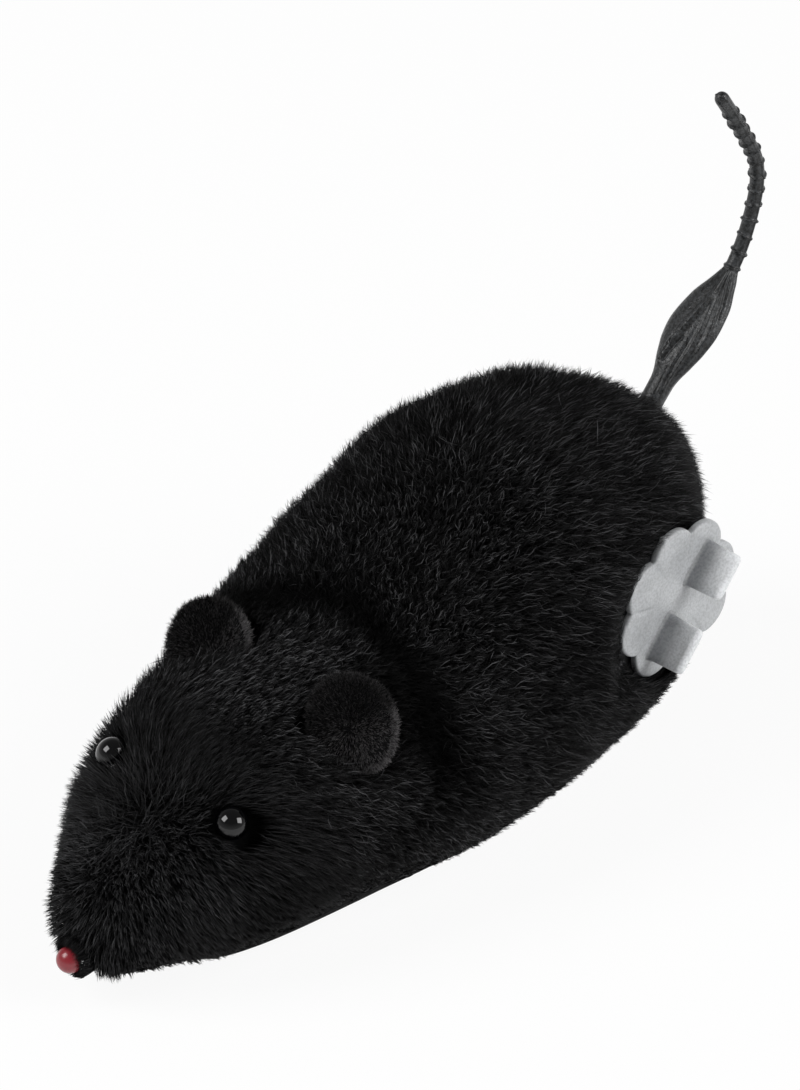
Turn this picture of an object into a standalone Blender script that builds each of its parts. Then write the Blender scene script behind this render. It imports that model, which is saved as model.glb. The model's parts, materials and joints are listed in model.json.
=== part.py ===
"""Clockwork mouse toy: a plush mouse on wheels with a wind-up spring motor inside.

Lengths are in metres. The mouse is drawn with its nose towards -Y, its left side towards +X and +Z up.
While it is drawn, Y is counted from the tip of the nose and Z from the floor. At the end the whole mouse
moves, so that its origin is the bottom centre of its bounding box.
"""
import math

import bmesh
import bpy
import numpy as np
from mathutils import Matrix, Vector

# Clearances
CLEAR = 0.0003            # between pieces that touch
RUN = 0.0001              # round a shaft in its bearing, and round a shaft in what is pushed on it
OVERRUN = 0.0010          # how far a cutter passes the face that it cuts

# Body form, over the tips of the fur
BODY_LENGTH = 0.1253
BODY_WIDTH = 0.0576
BODY_HEIGHT = 0.0525
FUR_START = 0.0020        # from the tip of the nose to the first fur
HEM_HEIGHT = 0.0030
FUR_DEPTH = 0.0050        # backing and pile together
NOSE_ROUND = 0.0030
RUMP_ROUND = 0.0090
SECTION_POWER = 0.85      # below 1 the section is fuller than an ellipse
PLACE_shares = (0.000, 0.025, 0.060, 0.136, 0.221, 0.320, 0.441, 0.561, 0.681, 0.801, 0.896, 0.960, 1.000)
HALF_WIDTH_shares = (0.140, 0.270, 0.390, 0.604, 0.736, 0.861, 0.985, 1.000, 0.944, 0.840, 0.535, 0.295, 0.170)
TOP_shares = (0.215, 0.305, 0.390, 0.524, 0.590, 0.648, 0.743, 0.886, 0.996, 0.962, 0.838, 0.686, 0.571)
MIDDLE_shares = (0.150, 0.178, 0.215, 0.257, 0.295, 0.324, 0.352, 0.381, 0.400, 0.419, 0.429, 0.429, 0.419)
LOW_shares = (0.085, 0.066, 0.048, -0.020, -0.038, -0.038, -0.038, -0.038, -0.038, -0.038, 0.029, 0.152, 0.286)
NOSE_TIP_share = 0.146
RUMP_TIP_share = 0.420
BODY_RINGS = 20
BODY_SIDES = 28
INNER_RINGS = 16
INNER_SIDES = 22

# Shell and base plate
SHELL_WALL = 0.0012
PLATE_HEIGHT = 0.0038     # floor to the plate's underside
PLATE_THICKNESS = 0.0012
POST_RADIUS = 0.0025
POST_OUT_shares = (0.155, 0.225)        # out from the middle, over the body's width
POST_PLACE_shares = (0.322, 0.546)      # along the body
SCREW_BOSS_RISE = 0.0016  # above the plate, round the base screws

# Screws
SCREW_RADIUS = 0.0006
SCREW_HEAD_RADIUS = 0.0014
SCREW_HEAD_HEIGHT = 0.0008
BASE_SCREW_LENGTH = 0.0075
MOTOR_SCREW_LENGTH = 0.0034
CASE_SCREW_LENGTH = 0.0110
SCREW_SIDES = 10

# Ears, eyes and nose
EAR_RADIUS = 0.0076
EAR_THICKNESS = 0.0020
EAR_CUP = 0.0016
LEFT_EAR_PLACE_share = 0.313
LEFT_EAR_ANGLE = math.radians(57.5)
LEFT_EAR_STAND = 0.0018   # middle of the ear over the tips of the fur
LEFT_EAR_UP = (0.25, 0.30, 0.92)
LEFT_EAR_FACING = (0.33, -0.88, 0.25)
RIGHT_EAR_PLACE_share = 0.326
RIGHT_EAR_ANGLE = math.radians(64.4)
RIGHT_EAR_STAND = -0.0022
RIGHT_EAR_UP = (0.25, 0.45, 0.86)
RIGHT_EAR_FACING = (-0.20, -0.78, 0.59)
EAR_WIDTH_share = 0.94
EYE_PLACE_share = 0.154
EYE_ANGLE = math.radians(54)
EYE_RADIUS = 0.0023
EYE_SINK = 0.0010         # from the fur tips down to the back of the eye
EYE_DOME_share = 0.95     # height of the dome over its radius
SHANK_RADIUS = 0.0008
SHANK_END = 0.0010        # past the washer
WASHER_RADIUS = 0.0024
WASHER_THICKNESS = 0.0007
NOSE_HEIGHT = 0.0075
NOSE_RADIUS = 0.0019
NOSE_BACK = 0.0024
PEG_RADIUS = 0.0008
PEG_LENGTH = 0.0095

# Tail
TAIL_ROOT_share = 0.934   # along the body
TAIL_SEAT = 0.0010        # how far the tail's root lies under the fur tips
TAIL_LENGTH = 0.0576
TAIL_HEADING_shares = (0.00, 0.10, 0.21, 0.28, 0.34, 0.41, 0.50, 0.58, 0.65, 0.71, 0.76, 0.85, 1.00)
TAIL_HEADING_DEGREES = (45, 45.5, 39, 34, 36, 51, 66, 75, 90, 108, 120, 121.5, 124)
TAIL_ROOT_RADIUS = 0.00175
TAIL_LEAF_RADIUS = 0.0041
TAIL_CORD_RADIUS = 0.00105
TAIL_RIB_HEIGHT = 0.0003
TAIL_RIB_HALF = 0.0004
TAIL_RIBS = 12
LEAF_PLACE_shares = (0.00, 0.07, 0.14, 0.18, 0.225, 0.30, 0.355, 0.405)
LEAF_WIDTH_shares = (0.00, 0.06, 0.60, 0.88, 1.00, 0.78, 0.36, 0.00)
LEAF_FLAT_share = 0.52    # thickness of the leaf over its width
TAIL_FLANGE_RADIUS = 0.0028
TAIL_FLANGE = 0.0010
TAIL_SIDES = 12

# Motor
MODULE_share = 0.00952    # of the body's height, which the motor fills
PRESSURE_ANGLE = math.radians(20)
TOOTH_THINNING = 0.00010  # taken off each tooth for backlash
ADDENDUM_share = 0.80
DEDENDUM_share = 1.20
GREAT_TEETH = 36
PINION_TEETH = 12
IDLER_TEETH = 28
GEAR_WIDTH = 0.0016
ARBOR_PLACE_share = 0.7766              # along the body
AXLE_FORWARD_modules = 22               # from the arbor towards the nose
ARBOR_RISE_modules = 32.1               # from the axle up to the arbor
ARBOR_RADIUS = 0.0015
AXLE_RADIUS = 0.0010
IDLER_SHAFT_RADIUS = 0.0009
IDLER_SLOT = 0.0008       # play of the idler's shaft, which frees the wheels while the spring is wound
CASE_HALF_WIDTH_share = 0.1354          # of the body's width
CASE_WALL = 0.0010
POCKET_CLEAR = 0.0005
CASE_SPLIT = 0.00015      # half of the gap between the case's halves
SPRING_SIDE_GAP = 0.0004  # on both sides of the spring
SPRING_STRIP = 0.00035
SPRING_INNER = 0.0021
SPRING_OUTER_modules = 19.4
SPRING_TURNS = 6
SPRING_STEPS = 22         # points in a turn
SPRING_POST_RADIUS = 0.0006
LUG_RADIUS = 0.0021
LUG_ANGLES = (math.radians(128), math.radians(-48))   # two lugs on the arbor's end, from +Y towards +Z
LUG_FRONT_ANGLE = math.radians(160)                   # one lug on the idler's end
TAB_THICKNESS = 0.0012
TAB_WIDTH = 0.0050
TAB_LENGTH = 0.0061       # past the pocket at the axle
TAB_SCREW_SETBACK = 0.0025              # from the tab's end to its screw
TAB_ROOT_share = 0.78     # of the pocket's radius at the axle
TAB_OFFSET_share = 0.513  # of the case's half width, to the tab's screw
BOSS_RADIUS = 0.0024
BOSS_HEIGHT = 0.0014
COLLAR_RADIUS = 0.0024
COLLAR_WIDTH = 0.0018

# Places across the motor, from the middle of the mouse
GREAT_GEAR_LEFT = 0.0004
IDLER_WHEEL_LEFT = 0.0036
PINION_OVERHANG = 0.0003

# Wheels
TYRE_RADIUS = 0.0105
TYRE_WIDTH = 0.0038
TYRE_SIDES = 32
TYRE_SHOULDER = 0.0007
RIM_RADIUS = 0.0074
RIM_DEPTH = 0.0012
WEB_RADIUS = 0.0030
WEB_INSET = 0.0011
HUB_RADIUS = 0.0024
HUB_SIDES = 20
WHEEL_SIDE_GAP = 0.0011   # from the case to the wheel's inner face
AXLE_END = 0.0007         # how far the axle stands out of the wheel
ROLLER_PLACE_share = 0.2259             # along the body
ROLLER_RADIUS = 0.0055
ROLLER_HALF_WIDTH_share = 0.0694        # of the body's width
ROLLER_SIDES = 24
ROLLER_PIN_RADIUS = 0.0008
ROLLER_SIDE_GAP = 0.0005
ROLLER_EAR_WIDTH = 0.0022
ROLLER_EAR_HALF_LENGTH = 0.0022
ROLLER_EAR_RISE = 0.0026
WHEEL_GAP = 0.0006        # round a wheel in its slot

# Winding knob
KNOB_RADIUS = 0.0120
KNOB_SINK = 0.0072        # from the body's widest down to the disc's inner face
KNOB_DISC = 0.0012
KNOB_CHAMFER = 0.0002
LOBE_RADIUS = 0.0042
LOBES = 8
LOBE_POINTS = 7
KNOB_HUB_RADIUS = 0.0030
KNOB_HUB_LENGTH = 0.0090
KNOB_FLOOR = 0.0004       # of the disc's thickness left over the end of the arbor
FIN_LENGTH = 0.0072
FIN_THICKNESS = 0.0022
FIN_HEIGHT = 0.0058
FIN_GAP = 0.0044
FIN_ROUND = 0.0008
FIN_DRAFT = 0.0002
FIN_ANGLE = math.radians(48)
LOBE_ANGLE = math.radians(8.5)
KNOB_POCKET_GAP = 0.0008  # between the knob and the fur round it

# Derived sizes
MODULE = BODY_HEIGHT * MODULE_share
BODY_MIDDLE = FUR_START + BODY_LENGTH / 2
SHELL_DEPTH = FUR_DEPTH + CLEAR
CAVITY_DEPTH = SHELL_DEPTH + SHELL_WALL
PLATE_DEPTH = CAVITY_DEPTH + CLEAR
PLATE_TOP = PLATE_HEIGHT + PLATE_THICKNESS
AXLE_HEIGHT = TYRE_RADIUS * math.cos(math.pi / TYRE_SIDES)
ARBOR_PLACE = FUR_START + BODY_LENGTH * ARBOR_PLACE_share
ARBOR_HEIGHT = AXLE_HEIGHT + MODULE * ARBOR_RISE_modules
AXLE_PLACE = ARBOR_PLACE - MODULE * AXLE_FORWARD_modules
ROLLER_PLACE = FUR_START + BODY_LENGTH * ROLLER_PLACE_share
SPRING_OUTER = MODULE * SPRING_OUTER_modules
KNOB_STAND = BODY_WIDTH / 2 - KNOB_SINK
POST_PLACES = tuple(
    (BODY_WIDTH * out, FUR_START + BODY_LENGTH * along)
    for out, along in zip(POST_OUT_shares, POST_PLACE_shares)
)
HEAD_SEAT = PLATE_HEIGHT + SCREW_HEAD_HEIGHT + 2 * CLEAR
ROLLER_HEIGHT = ROLLER_RADIUS * math.cos(math.pi / ROLLER_SIDES)
ROLLER_HALF_WIDTH = BODY_WIDTH * ROLLER_HALF_WIDTH_share
CASE_HALF_WIDTH = BODY_WIDTH * CASE_HALF_WIDTH_share
WHEEL_STAND = CASE_HALF_WIDTH + WHEEL_SIDE_GAP
POCKET_HALF_WIDTH = CASE_HALF_WIDTH - CASE_WALL
IDLER_PINION_RIGHT = GREAT_GEAR_LEFT - GEAR_WIDTH - PINION_OVERHANG
SPRING_RIGHT = -POCKET_HALF_WIDTH + SPRING_SIDE_GAP
SPRING_WIDTH = IDLER_PINION_RIGHT - SPRING_SIDE_GAP - SPRING_RIGHT
TAB_OFFSET = CASE_HALF_WIDTH * TAB_OFFSET_share
TAB_BOTTOM = PLATE_TOP + BOSS_HEIGHT + CLEAR
TAB_TOP = TAB_BOTTOM + TAB_THICKNESS
POST_FOOT = PLATE_TOP + SCREW_BOSS_RISE + CLEAR


def pitch_radius(teeth):
    """Radius at which two meshed gears roll on each other."""
    return MODULE * teeth / 2


def tip_radius(teeth):
    return pitch_radius(teeth) + MODULE * ADDENDUM_share


AXLE_POCKET = tip_radius(PINION_TEETH) + POCKET_CLEAR
TAB_REACH = AXLE_POCKET + TAB_LENGTH    # from the axle to the tab's end
TAB_SCREW_REACH = TAB_REACH - TAB_SCREW_SETBACK


def third_corner(first, second, first_reach, second_reach):
    """Point at first_reach from first and second_reach from second, on the nose side of the line between."""
    line = second - first
    span = line.length
    along = (first_reach ** 2 - second_reach ** 2 + span ** 2) / (2 * span)
    aside = math.sqrt(first_reach ** 2 - along ** 2)
    line.normalize()
    return first + line * along + Vector((line.y, -line.x)) * aside


# Shaft axes in the plane of Y and Z
ARBOR_AXIS = Vector((ARBOR_PLACE, ARBOR_HEIGHT))
AXLE_AXIS = Vector((AXLE_PLACE, AXLE_HEIGHT))
IDLER_AXIS = third_corner(
    ARBOR_AXIS,
    AXLE_AXIS,
    pitch_radius(GREAT_TEETH + PINION_TEETH),
    pitch_radius(IDLER_TEETH + PINION_TEETH),
)
ROLLER_AXIS = Vector((ROLLER_PLACE, ROLLER_HEIGHT))


# Scene, materials and objects

def clear_scene():
    for thing in list(bpy.data.objects):
        bpy.data.objects.remove(thing, do_unlink=True)


def material(name, colour, roughness, metallic=0.0):
    """Principled material from an sRGB colour written as six hex digits."""
    made = bpy.data.materials.new(name)
    made.use_nodes = True
    shader = made.node_tree.nodes["Principled BSDF"]
    channels = [int(colour[i:i + 2], 16) / 255 for i in (0, 2, 4)]
    linear = [c / 12.92 if c <= 0.04045 else ((c + 0.055) / 1.055) ** 2.4 for c in channels]
    shader.inputs["Base Color"].default_value = (*linear, 1.0)
    shader.inputs["Roughness"].default_value = roughness
    shader.inputs["Metallic"].default_value = metallic
    made.diffuse_color = (*linear, 1.0)
    return made


def finish_mesh(bm, name):
    """Closes the bmesh into a mesh with all faces pointing out and its round faces smooth."""
    bmesh.ops.remove_doubles(bm, verts=bm.verts, dist=CLEAR / 1000)
    bmesh.ops.recalc_face_normals(bm, faces=bm.faces)
    mesh = bpy.data.meshes.new(name)
    bm.to_mesh(mesh)
    bm.free()
    mesh.shade_smooth()
    mesh.set_sharp_from_angle(angle=math.radians(35))
    return mesh


def piece(name, bm, finish, parent, location=(0, 0, 0), turn=None):
    """One sub-part: an object with its own material, under the empty that carries it."""
    made = bpy.data.objects.new(name, finish_mesh(bm, name))
    bpy.context.scene.collection.objects.link(made)
    made.data.materials.append(finish)
    made.parent = parent
    made.location = location
    if turn is not None:
        made.rotation_euler = turn.to_euler()
    return made


def change(target, operation, bm, name):
    """Adds, cuts or keeps the part of target that the bmesh covers; the bmesh shares target's own frame."""
    tool = bpy.data.objects.new(name, finish_mesh(bm, name))
    bpy.context.scene.collection.objects.link(tool)
    tool.parent = target
    tool.hide_render = True
    tool.display_type = "WIRE"
    modifier = target.modifiers.new(name, "BOOLEAN")
    modifier.operation = operation
    modifier.object = tool
    return tool


def empty(name, parent=None, location=(0, 0, 0)):
    made = bpy.data.objects.new(name, None)
    bpy.context.scene.collection.objects.link(made)
    made.empty_display_size = BODY_HEIGHT / 4
    made.parent = parent
    made.location = location
    return made


# Shapes as bmeshes

def loft(rings, looped=False):
    """Skin over rings of equal counts: quads between neighbours, and a flat cap at each open end."""
    bm = bmesh.new()
    rows = [[bm.verts.new(point) for point in ring] for ring in rings]
    pairs = list(zip(rows, rows[1:]))
    if looped:
        pairs.append((rows[-1], rows[0]))
    for low, high in pairs:
        for i in range(len(low)):
            j = (i + 1) % len(low)
            bm.faces.new((low[i], low[j], high[j], high[i]))
    if not looped:
        bm.faces.new(rows[0])
        bm.faces.new(rows[-1])
    return bm


def lathe(profile, sides):
    """Spins (place along X, radius) points round the X axis, with a flat side downwards.

    A profile that ends on the axis makes a solid, and any other is closed into a ring.
    """
    bm = bmesh.new()
    start = Matrix.Rotation(-math.pi / 2 + math.pi / sides, 3, "X")
    verts = [bm.verts.new(start @ Vector((along, radius, 0))) for along, radius in profile]
    edges = [bm.edges.new(pair) for pair in zip(verts, verts[1:])]
    if profile[0][1] > 0:
        edges.append(bm.edges.new((verts[-1], verts[0])))
    bmesh.ops.spin(
        bm,
        geom=verts + edges,
        cent=(0, 0, 0),
        axis=(1, 0, 0),
        angle=2 * math.pi,
        steps=sides,
        use_merge=True,
    )
    bmesh.ops.remove_doubles(bm, verts=bm.verts, dist=CLEAR / 1000)
    return bm


def prism(outline, low, high):
    """Outline of (Y, Z) points, extruded along X from low to high."""
    bm = bmesh.new()
    face = bm.faces.new([bm.verts.new((low, y, z)) for y, z in outline])
    grown = bmesh.ops.extrude_face_region(bm, geom=[face])
    moved = [item for item in grown["geom"] if isinstance(item, bmesh.types.BMVert)]
    bmesh.ops.translate(bm, verts=moved, vec=(high - low, 0, 0))
    return bm


def block(low, high):
    """Box between two corners."""
    bm = bmesh.new()
    size = [b - a for a, b in zip(low, high)]
    middle = [(a + b) / 2 for a, b in zip(low, high)]
    bmesh.ops.create_cube(bm, size=1, matrix=Matrix.Translation(middle) @ Matrix.Diagonal((*size, 1)))
    return bm


def rod(start, end, radius, sides=12):
    """Round bar between two points."""
    start = Vector(start)
    line = Vector(end) - start
    turn = line.to_track_quat("Z", "Y").to_matrix().to_4x4()
    bm = bmesh.new()
    bmesh.ops.create_cone(
        bm,
        cap_ends=True,
        segments=sides,
        radius1=radius,
        radius2=radius,
        depth=line.length,
        matrix=Matrix.Translation(start + line / 2) @ turn,
    )
    return bm


def gathered(shapes):
    """Several bmeshes as one, for a cutter that works in several places."""
    whole = bmesh.new()
    for shape in shapes:
        part = bpy.data.meshes.new("gathered")
        shape.to_mesh(part)
        shape.free()
        whole.from_mesh(part)
        bpy.data.meshes.remove(part)
    return whole


def moved(shape, matrix):
    bmesh.ops.transform(shape, matrix=matrix, verts=shape.verts)
    return shape


def circle_points(centre, radius, count, start=0.0):
    angles = [start + 2 * math.pi * i / count for i in range(count)]
    return [(centre[0] + radius * math.cos(a), centre[1] + radius * math.sin(a)) for a in angles]


def hull(circles, count):
    """Outline that a band takes round several circles, each given as (centre, radius)."""
    points = sorted(set(p for centre, radius in circles for p in circle_points(centre, radius, count)))

    def half(ordered):
        chain = []
        for p in ordered:
            while len(chain) > 1:
                (ax, ay), (bx, by) = chain[-2:]
                if (bx - ax) * (p[1] - ay) - (by - ay) * (p[0] - ax) > 0:
                    break
                chain.pop()
            chain.append(p)
        return chain[:-1]

    return half(points) + half(points[::-1])


def eased(places, values, at):
    """Smooth curve through the values that never swings past them.

    Its slope at each place is the harmonic mean of the slopes on both sides, or zero where they turn.
    """
    places = np.asarray(places, float)
    values = np.asarray(values, float)
    step = np.diff(places)
    rise = np.diff(values) / step
    slope = np.concatenate([rise[:1], np.zeros(len(values) - 2), rise[-1:]])
    turns = rise[1:] * rise[:-1] <= 0
    slope[1:-1] = np.where(turns, 0, 2 * rise[1:] * rise[:-1] / np.where(turns, 1, rise[1:] + rise[:-1]))
    i = np.clip(np.searchsorted(places, at) - 1, 0, len(step) - 1)
    t = (at - places[i]) / step[i]
    bend = t * t * (3 - 2 * t)
    start = t * (1 - t) ** 2
    end = t * t * (t - 1)
    return values[i] * (1 - bend) + values[i + 1] * bend + step[i] * (slope[i] * start + slope[i + 1] * end)


# Body form

def shrink(depth):
    """Scales across, along and up that draw the body form in by depth at its widest, ends and top."""
    return 1 - depth / (BODY_WIDTH / 2), 1 - depth / (BODY_LENGTH / 2), 1 - depth / BODY_HEIGHT


def section(share):
    """Half width, top, widest height, low point, fullness and tip height at a share of the length."""
    share = np.asarray(share, float)
    from_nose = np.clip(share * BODY_LENGTH / NOSE_ROUND, 0, 1)
    from_rump = np.clip((1 - share) * BODY_LENGTH / RUMP_ROUND, 0, 1)
    fullness = np.sqrt(1 - (1 - from_nose) ** 2) * np.sqrt(1 - (1 - from_rump) ** 2)
    tip = BODY_HEIGHT * np.where(share < 0.5, NOSE_TIP_share, RUMP_TIP_share)
    half = BODY_WIDTH / 2 * eased(PLACE_shares, HALF_WIDTH_shares, share)
    top = BODY_HEIGHT * eased(PLACE_shares, TOP_shares, share)
    middle = BODY_HEIGHT * eased(PLACE_shares, MIDDLE_shares, share)
    low = BODY_HEIGHT * eased(PLACE_shares, LOW_shares, share)
    return half, top, middle, low, fullness, tip


def form_point(share, angle, depth):
    """Points of the body form: a superellipse at each share of the length, from +X up over the back."""
    half, top, middle, low, fullness, tip = section(share)
    across, along, up = shrink(depth)
    side = np.cos(angle)
    rise = np.sin(angle)
    x = half * fullness * np.sign(side) * np.abs(side) ** SECTION_POWER
    reach = np.where(rise > 0, top - middle, middle - low)
    z = middle + reach * np.sign(rise) * np.abs(rise) ** SECTION_POWER
    z = tip + (z - tip) * fullness
    y = FUR_START + BODY_LENGTH * np.asarray(share, float)
    y = BODY_MIDDLE + (y - BODY_MIDDLE) * along
    return np.stack(np.broadcast_arrays(x * across, y, z * up), axis=-1)


def body_form(depth, rings, sides):
    """The closed body form, drawn in by depth, with more rings near its ends."""
    steps = np.linspace(0, 1, rings + 2)[1:-1]
    share = (1 - np.cos(math.pi * steps)) / 2
    angle = 2 * math.pi * np.arange(sides) / sides
    grid = form_point(share[:, None], angle[None, :], depth)
    bm = bmesh.new()
    rows = [[bm.verts.new(point) for point in ring] for ring in grid]
    for low, high in zip(rows, rows[1:]):
        for i in range(sides):
            j = (i + 1) % sides
            bm.faces.new((low[i], low[j], high[j], high[i]))
    for row, place in ((rows[0], 0.0), (rows[-1], 1.0)):
        tip = bm.verts.new(form_point(place, 0.0, depth))
        for i in range(sides):
            bm.faces.new((row[i], row[(i + 1) % sides], tip))
    return bm


def surface(share, angle, depth=0.0):
    """A point of the body form and the direction that points out of it there."""
    step = 0.002
    point = form_point(share, angle, depth)
    along = form_point(share + step, angle, depth) - form_point(share - step, angle, depth)
    around = form_point(share, angle + step, depth) - form_point(share, angle - step, depth)
    normal = Vector(np.cross(around, along)).normalized()
    return Vector(point), normal if normal.z > 0 else -normal


def fill(point, depth):
    """Below 1 inside the body form, 1 on it."""
    across, along, up = shrink(depth)
    share = ((point[1] - BODY_MIDDLE) / along + BODY_MIDDLE - FUR_START) / BODY_LENGTH
    half, top, middle, low, fullness, tip = section(share)
    if fullness <= 0:
        return math.inf
    z = tip + (point[2] / up - tip) / fullness
    reach = top - middle if z > middle else middle - low
    power = 2 / SECTION_POWER
    return float(abs(point[0] / across / fullness / half) ** power + abs((z - middle) / reach) ** power)


def reach_of(start, direction, depth, limit):
    """How far from start, along direction, the line enters the form drawn in by depth."""
    low = 0.0
    high = limit
    for _ in range(40):
        middle = (low + high) / 2
        if fill(start + direction * middle, depth) > 1:
            low = middle
        else:
            high = middle
    return high


def roof_height(x, y, depth):
    """Height of the body form over a point of the floor plan."""
    across, along, up = shrink(depth)
    share = ((y - BODY_MIDDLE) / along + BODY_MIDDLE - FUR_START) / BODY_LENGTH
    half, top, middle, low, fullness, tip = section(share)
    inner = 1 - (abs(x) / across / half) ** (2 / SECTION_POWER)
    return float(middle + (top - middle) * inner ** (SECTION_POWER / 2)) * up


def facing(normal, up):
    """Turn that takes +Z to normal and +Y as near to up as it can be."""
    forward = Vector(normal).normalized()
    upward = Vector(up)
    upward = (upward - forward * upward.dot(forward)).normalized()
    across = upward.cross(forward)
    return Matrix((across, upward, forward)).transposed()


def mirrored(direction, side):
    return Vector((direction[0] * side, direction[1], direction[2]))


# Seats shared by the shell, the cover and what they hold

def rim_reach(centre, inward, radius):
    """How far a disc of this radius goes inward from centre until its whole rim is in the shell's cavity."""
    aside = inward.orthogonal().normalized() * radius
    turns = [Matrix.Rotation(2 * math.pi * i / 12, 3, inward) for i in range(12)]
    return max(reach_of(centre + turn @ aside, inward, CAVITY_DEPTH, BODY_HEIGHT / 2) for turn in turns)


def eye_seat(side):
    """Back of the eye, its outward direction, and the way down its shank to where its washer is seated."""
    point, normal = surface(EYE_PLACE_share, EYE_ANGLE)
    base = point - normal * EYE_SINK
    return mirrored(base, side), mirrored(normal, side), rim_reach(base, -normal, WASHER_RADIUS)


def tail_seat():
    """Root of the tail, its direction there, and the way back from it to where its flange is seated."""
    point, _ = surface(TAIL_ROOT_share, math.pi / 2)
    heading = math.radians(TAIL_HEADING_DEGREES[0])
    direction = Vector((0, math.cos(heading), math.sin(heading)))
    root = point - direction * TAIL_SEAT
    return root, direction, rim_reach(root, -direction, TAIL_FLANGE_RADIUS)


# Shell, cover and base plate

def below(height):
    """Everything under a height, as a cutter."""
    return block(
        (-BODY_WIDTH, -BODY_LENGTH, -BODY_HEIGHT),
        (BODY_WIDTH, 2 * BODY_LENGTH, height),
    )


def skin_holes(extra):
    """Holes that the eyes, nose and tail pass through, each wider than its shaft by extra."""
    holes = []
    for side in (1, -1):
        base, normal, inward = eye_seat(side)
        holes.append(rod(base - normal * (inward + OVERRUN), base + normal * OVERRUN, SHANK_RADIUS + extra))
    holes.append(rod((0, 0, NOSE_HEIGHT), (0, PEG_LENGTH + OVERRUN, NOSE_HEIGHT), PEG_RADIUS + extra))
    root, direction, inward = tail_seat()
    start = root - direction * (inward + OVERRUN)
    holes.append(rod(start, root + direction * FUR_DEPTH, TAIL_ROOT_RADIUS + extra))
    return holes


def knob_room():
    """Room that the knob's disc needs to turn, as a cutter."""
    start = (KNOB_STAND - CLEAR, *ARBOR_AXIS)
    return rod(start, (BODY_WIDTH, *ARBOR_AXIS), KNOB_RADIUS + KNOB_POCKET_GAP, 32)


def make_fur_cover(finish, root):
    """Plush cover: the body form, open at the hem, with seats for the eyes, nose and knob."""
    cover = piece("fur_cover", body_form(0.0, BODY_RINGS, BODY_SIDES), finish, root)
    change(cover, "DIFFERENCE", below(HEM_HEIGHT), "hem_cut")
    change(cover, "DIFFERENCE", body_form(FUR_DEPTH, INNER_RINGS, INNER_SIDES), "lining_cut")
    seats = skin_holes(CLEAR)
    for side in (1, -1):
        base, normal, _ = eye_seat(side)
        seats.append(rod(base - normal * CLEAR, base + normal * FUR_DEPTH, EYE_RADIUS + CLEAR, 16))
    seats.append(rod((0, -OVERRUN, NOSE_HEIGHT), (0, NOSE_BACK + CLEAR, NOSE_HEIGHT), NOSE_RADIUS + CLEAR, 16))
    change(cover, "DIFFERENCE", gathered(seats[:4]), "skin_holes_cut")
    change(cover, "DIFFERENCE", gathered(seats[4:]), "seat_cut")
    change(cover, "DIFFERENCE", knob_room(), "knob_pocket")
    hub_room = rod((0, *ARBOR_AXIS), (KNOB_STAND, *ARBOR_AXIS), KNOB_HUB_RADIUS + 2 * CLEAR, 20)
    change(cover, "DIFFERENCE", hub_room, "hub_hole")
    return cover


def make_body_shell(finish, root):
    """Moulded upper shell: a thin wall inside the cover, with four screw posts under its roof."""
    shell = piece("body_shell", body_form(SHELL_DEPTH, INNER_RINGS, INNER_SIDES), finish, root)
    change(shell, "DIFFERENCE", below(PLATE_HEIGHT), "rim_cut")
    change(shell, "DIFFERENCE", body_form(CAVITY_DEPTH, INNER_RINGS, INNER_SIDES), "cavity_cut")
    posts = []
    pilots = []
    for x, y in POST_PLACES:
        roof = roof_height(x + POST_RADIUS, y, SHELL_DEPTH) - SHELL_WALL / 3
        for side in (1, -1):
            posts.append(rod((x * side, y, POST_FOOT), (x * side, y, roof), POST_RADIUS, 14))
            pilot_end = HEAD_SEAT + BASE_SCREW_LENGTH + OVERRUN
            pilots.append(rod((x * side, y, 0), (x * side, y, pilot_end), SCREW_RADIUS + CLEAR, SCREW_SIDES))
    change(shell, "UNION", gathered(posts), "screw_posts")
    change(shell, "DIFFERENCE", gathered(pilots), "pilot_holes")
    openings = skin_holes(CLEAR)
    start = (KNOB_STAND - KNOB_HUB_LENGTH, *ARBOR_AXIS)
    openings.append(rod(start, (BODY_WIDTH, *ARBOR_AXIS), KNOB_HUB_RADIUS + 2 * CLEAR, 20))
    change(shell, "DIFFERENCE", gathered(openings), "shell_openings")
    change(shell, "DIFFERENCE", knob_room(), "shell_knob_pocket")
    return shell


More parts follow.
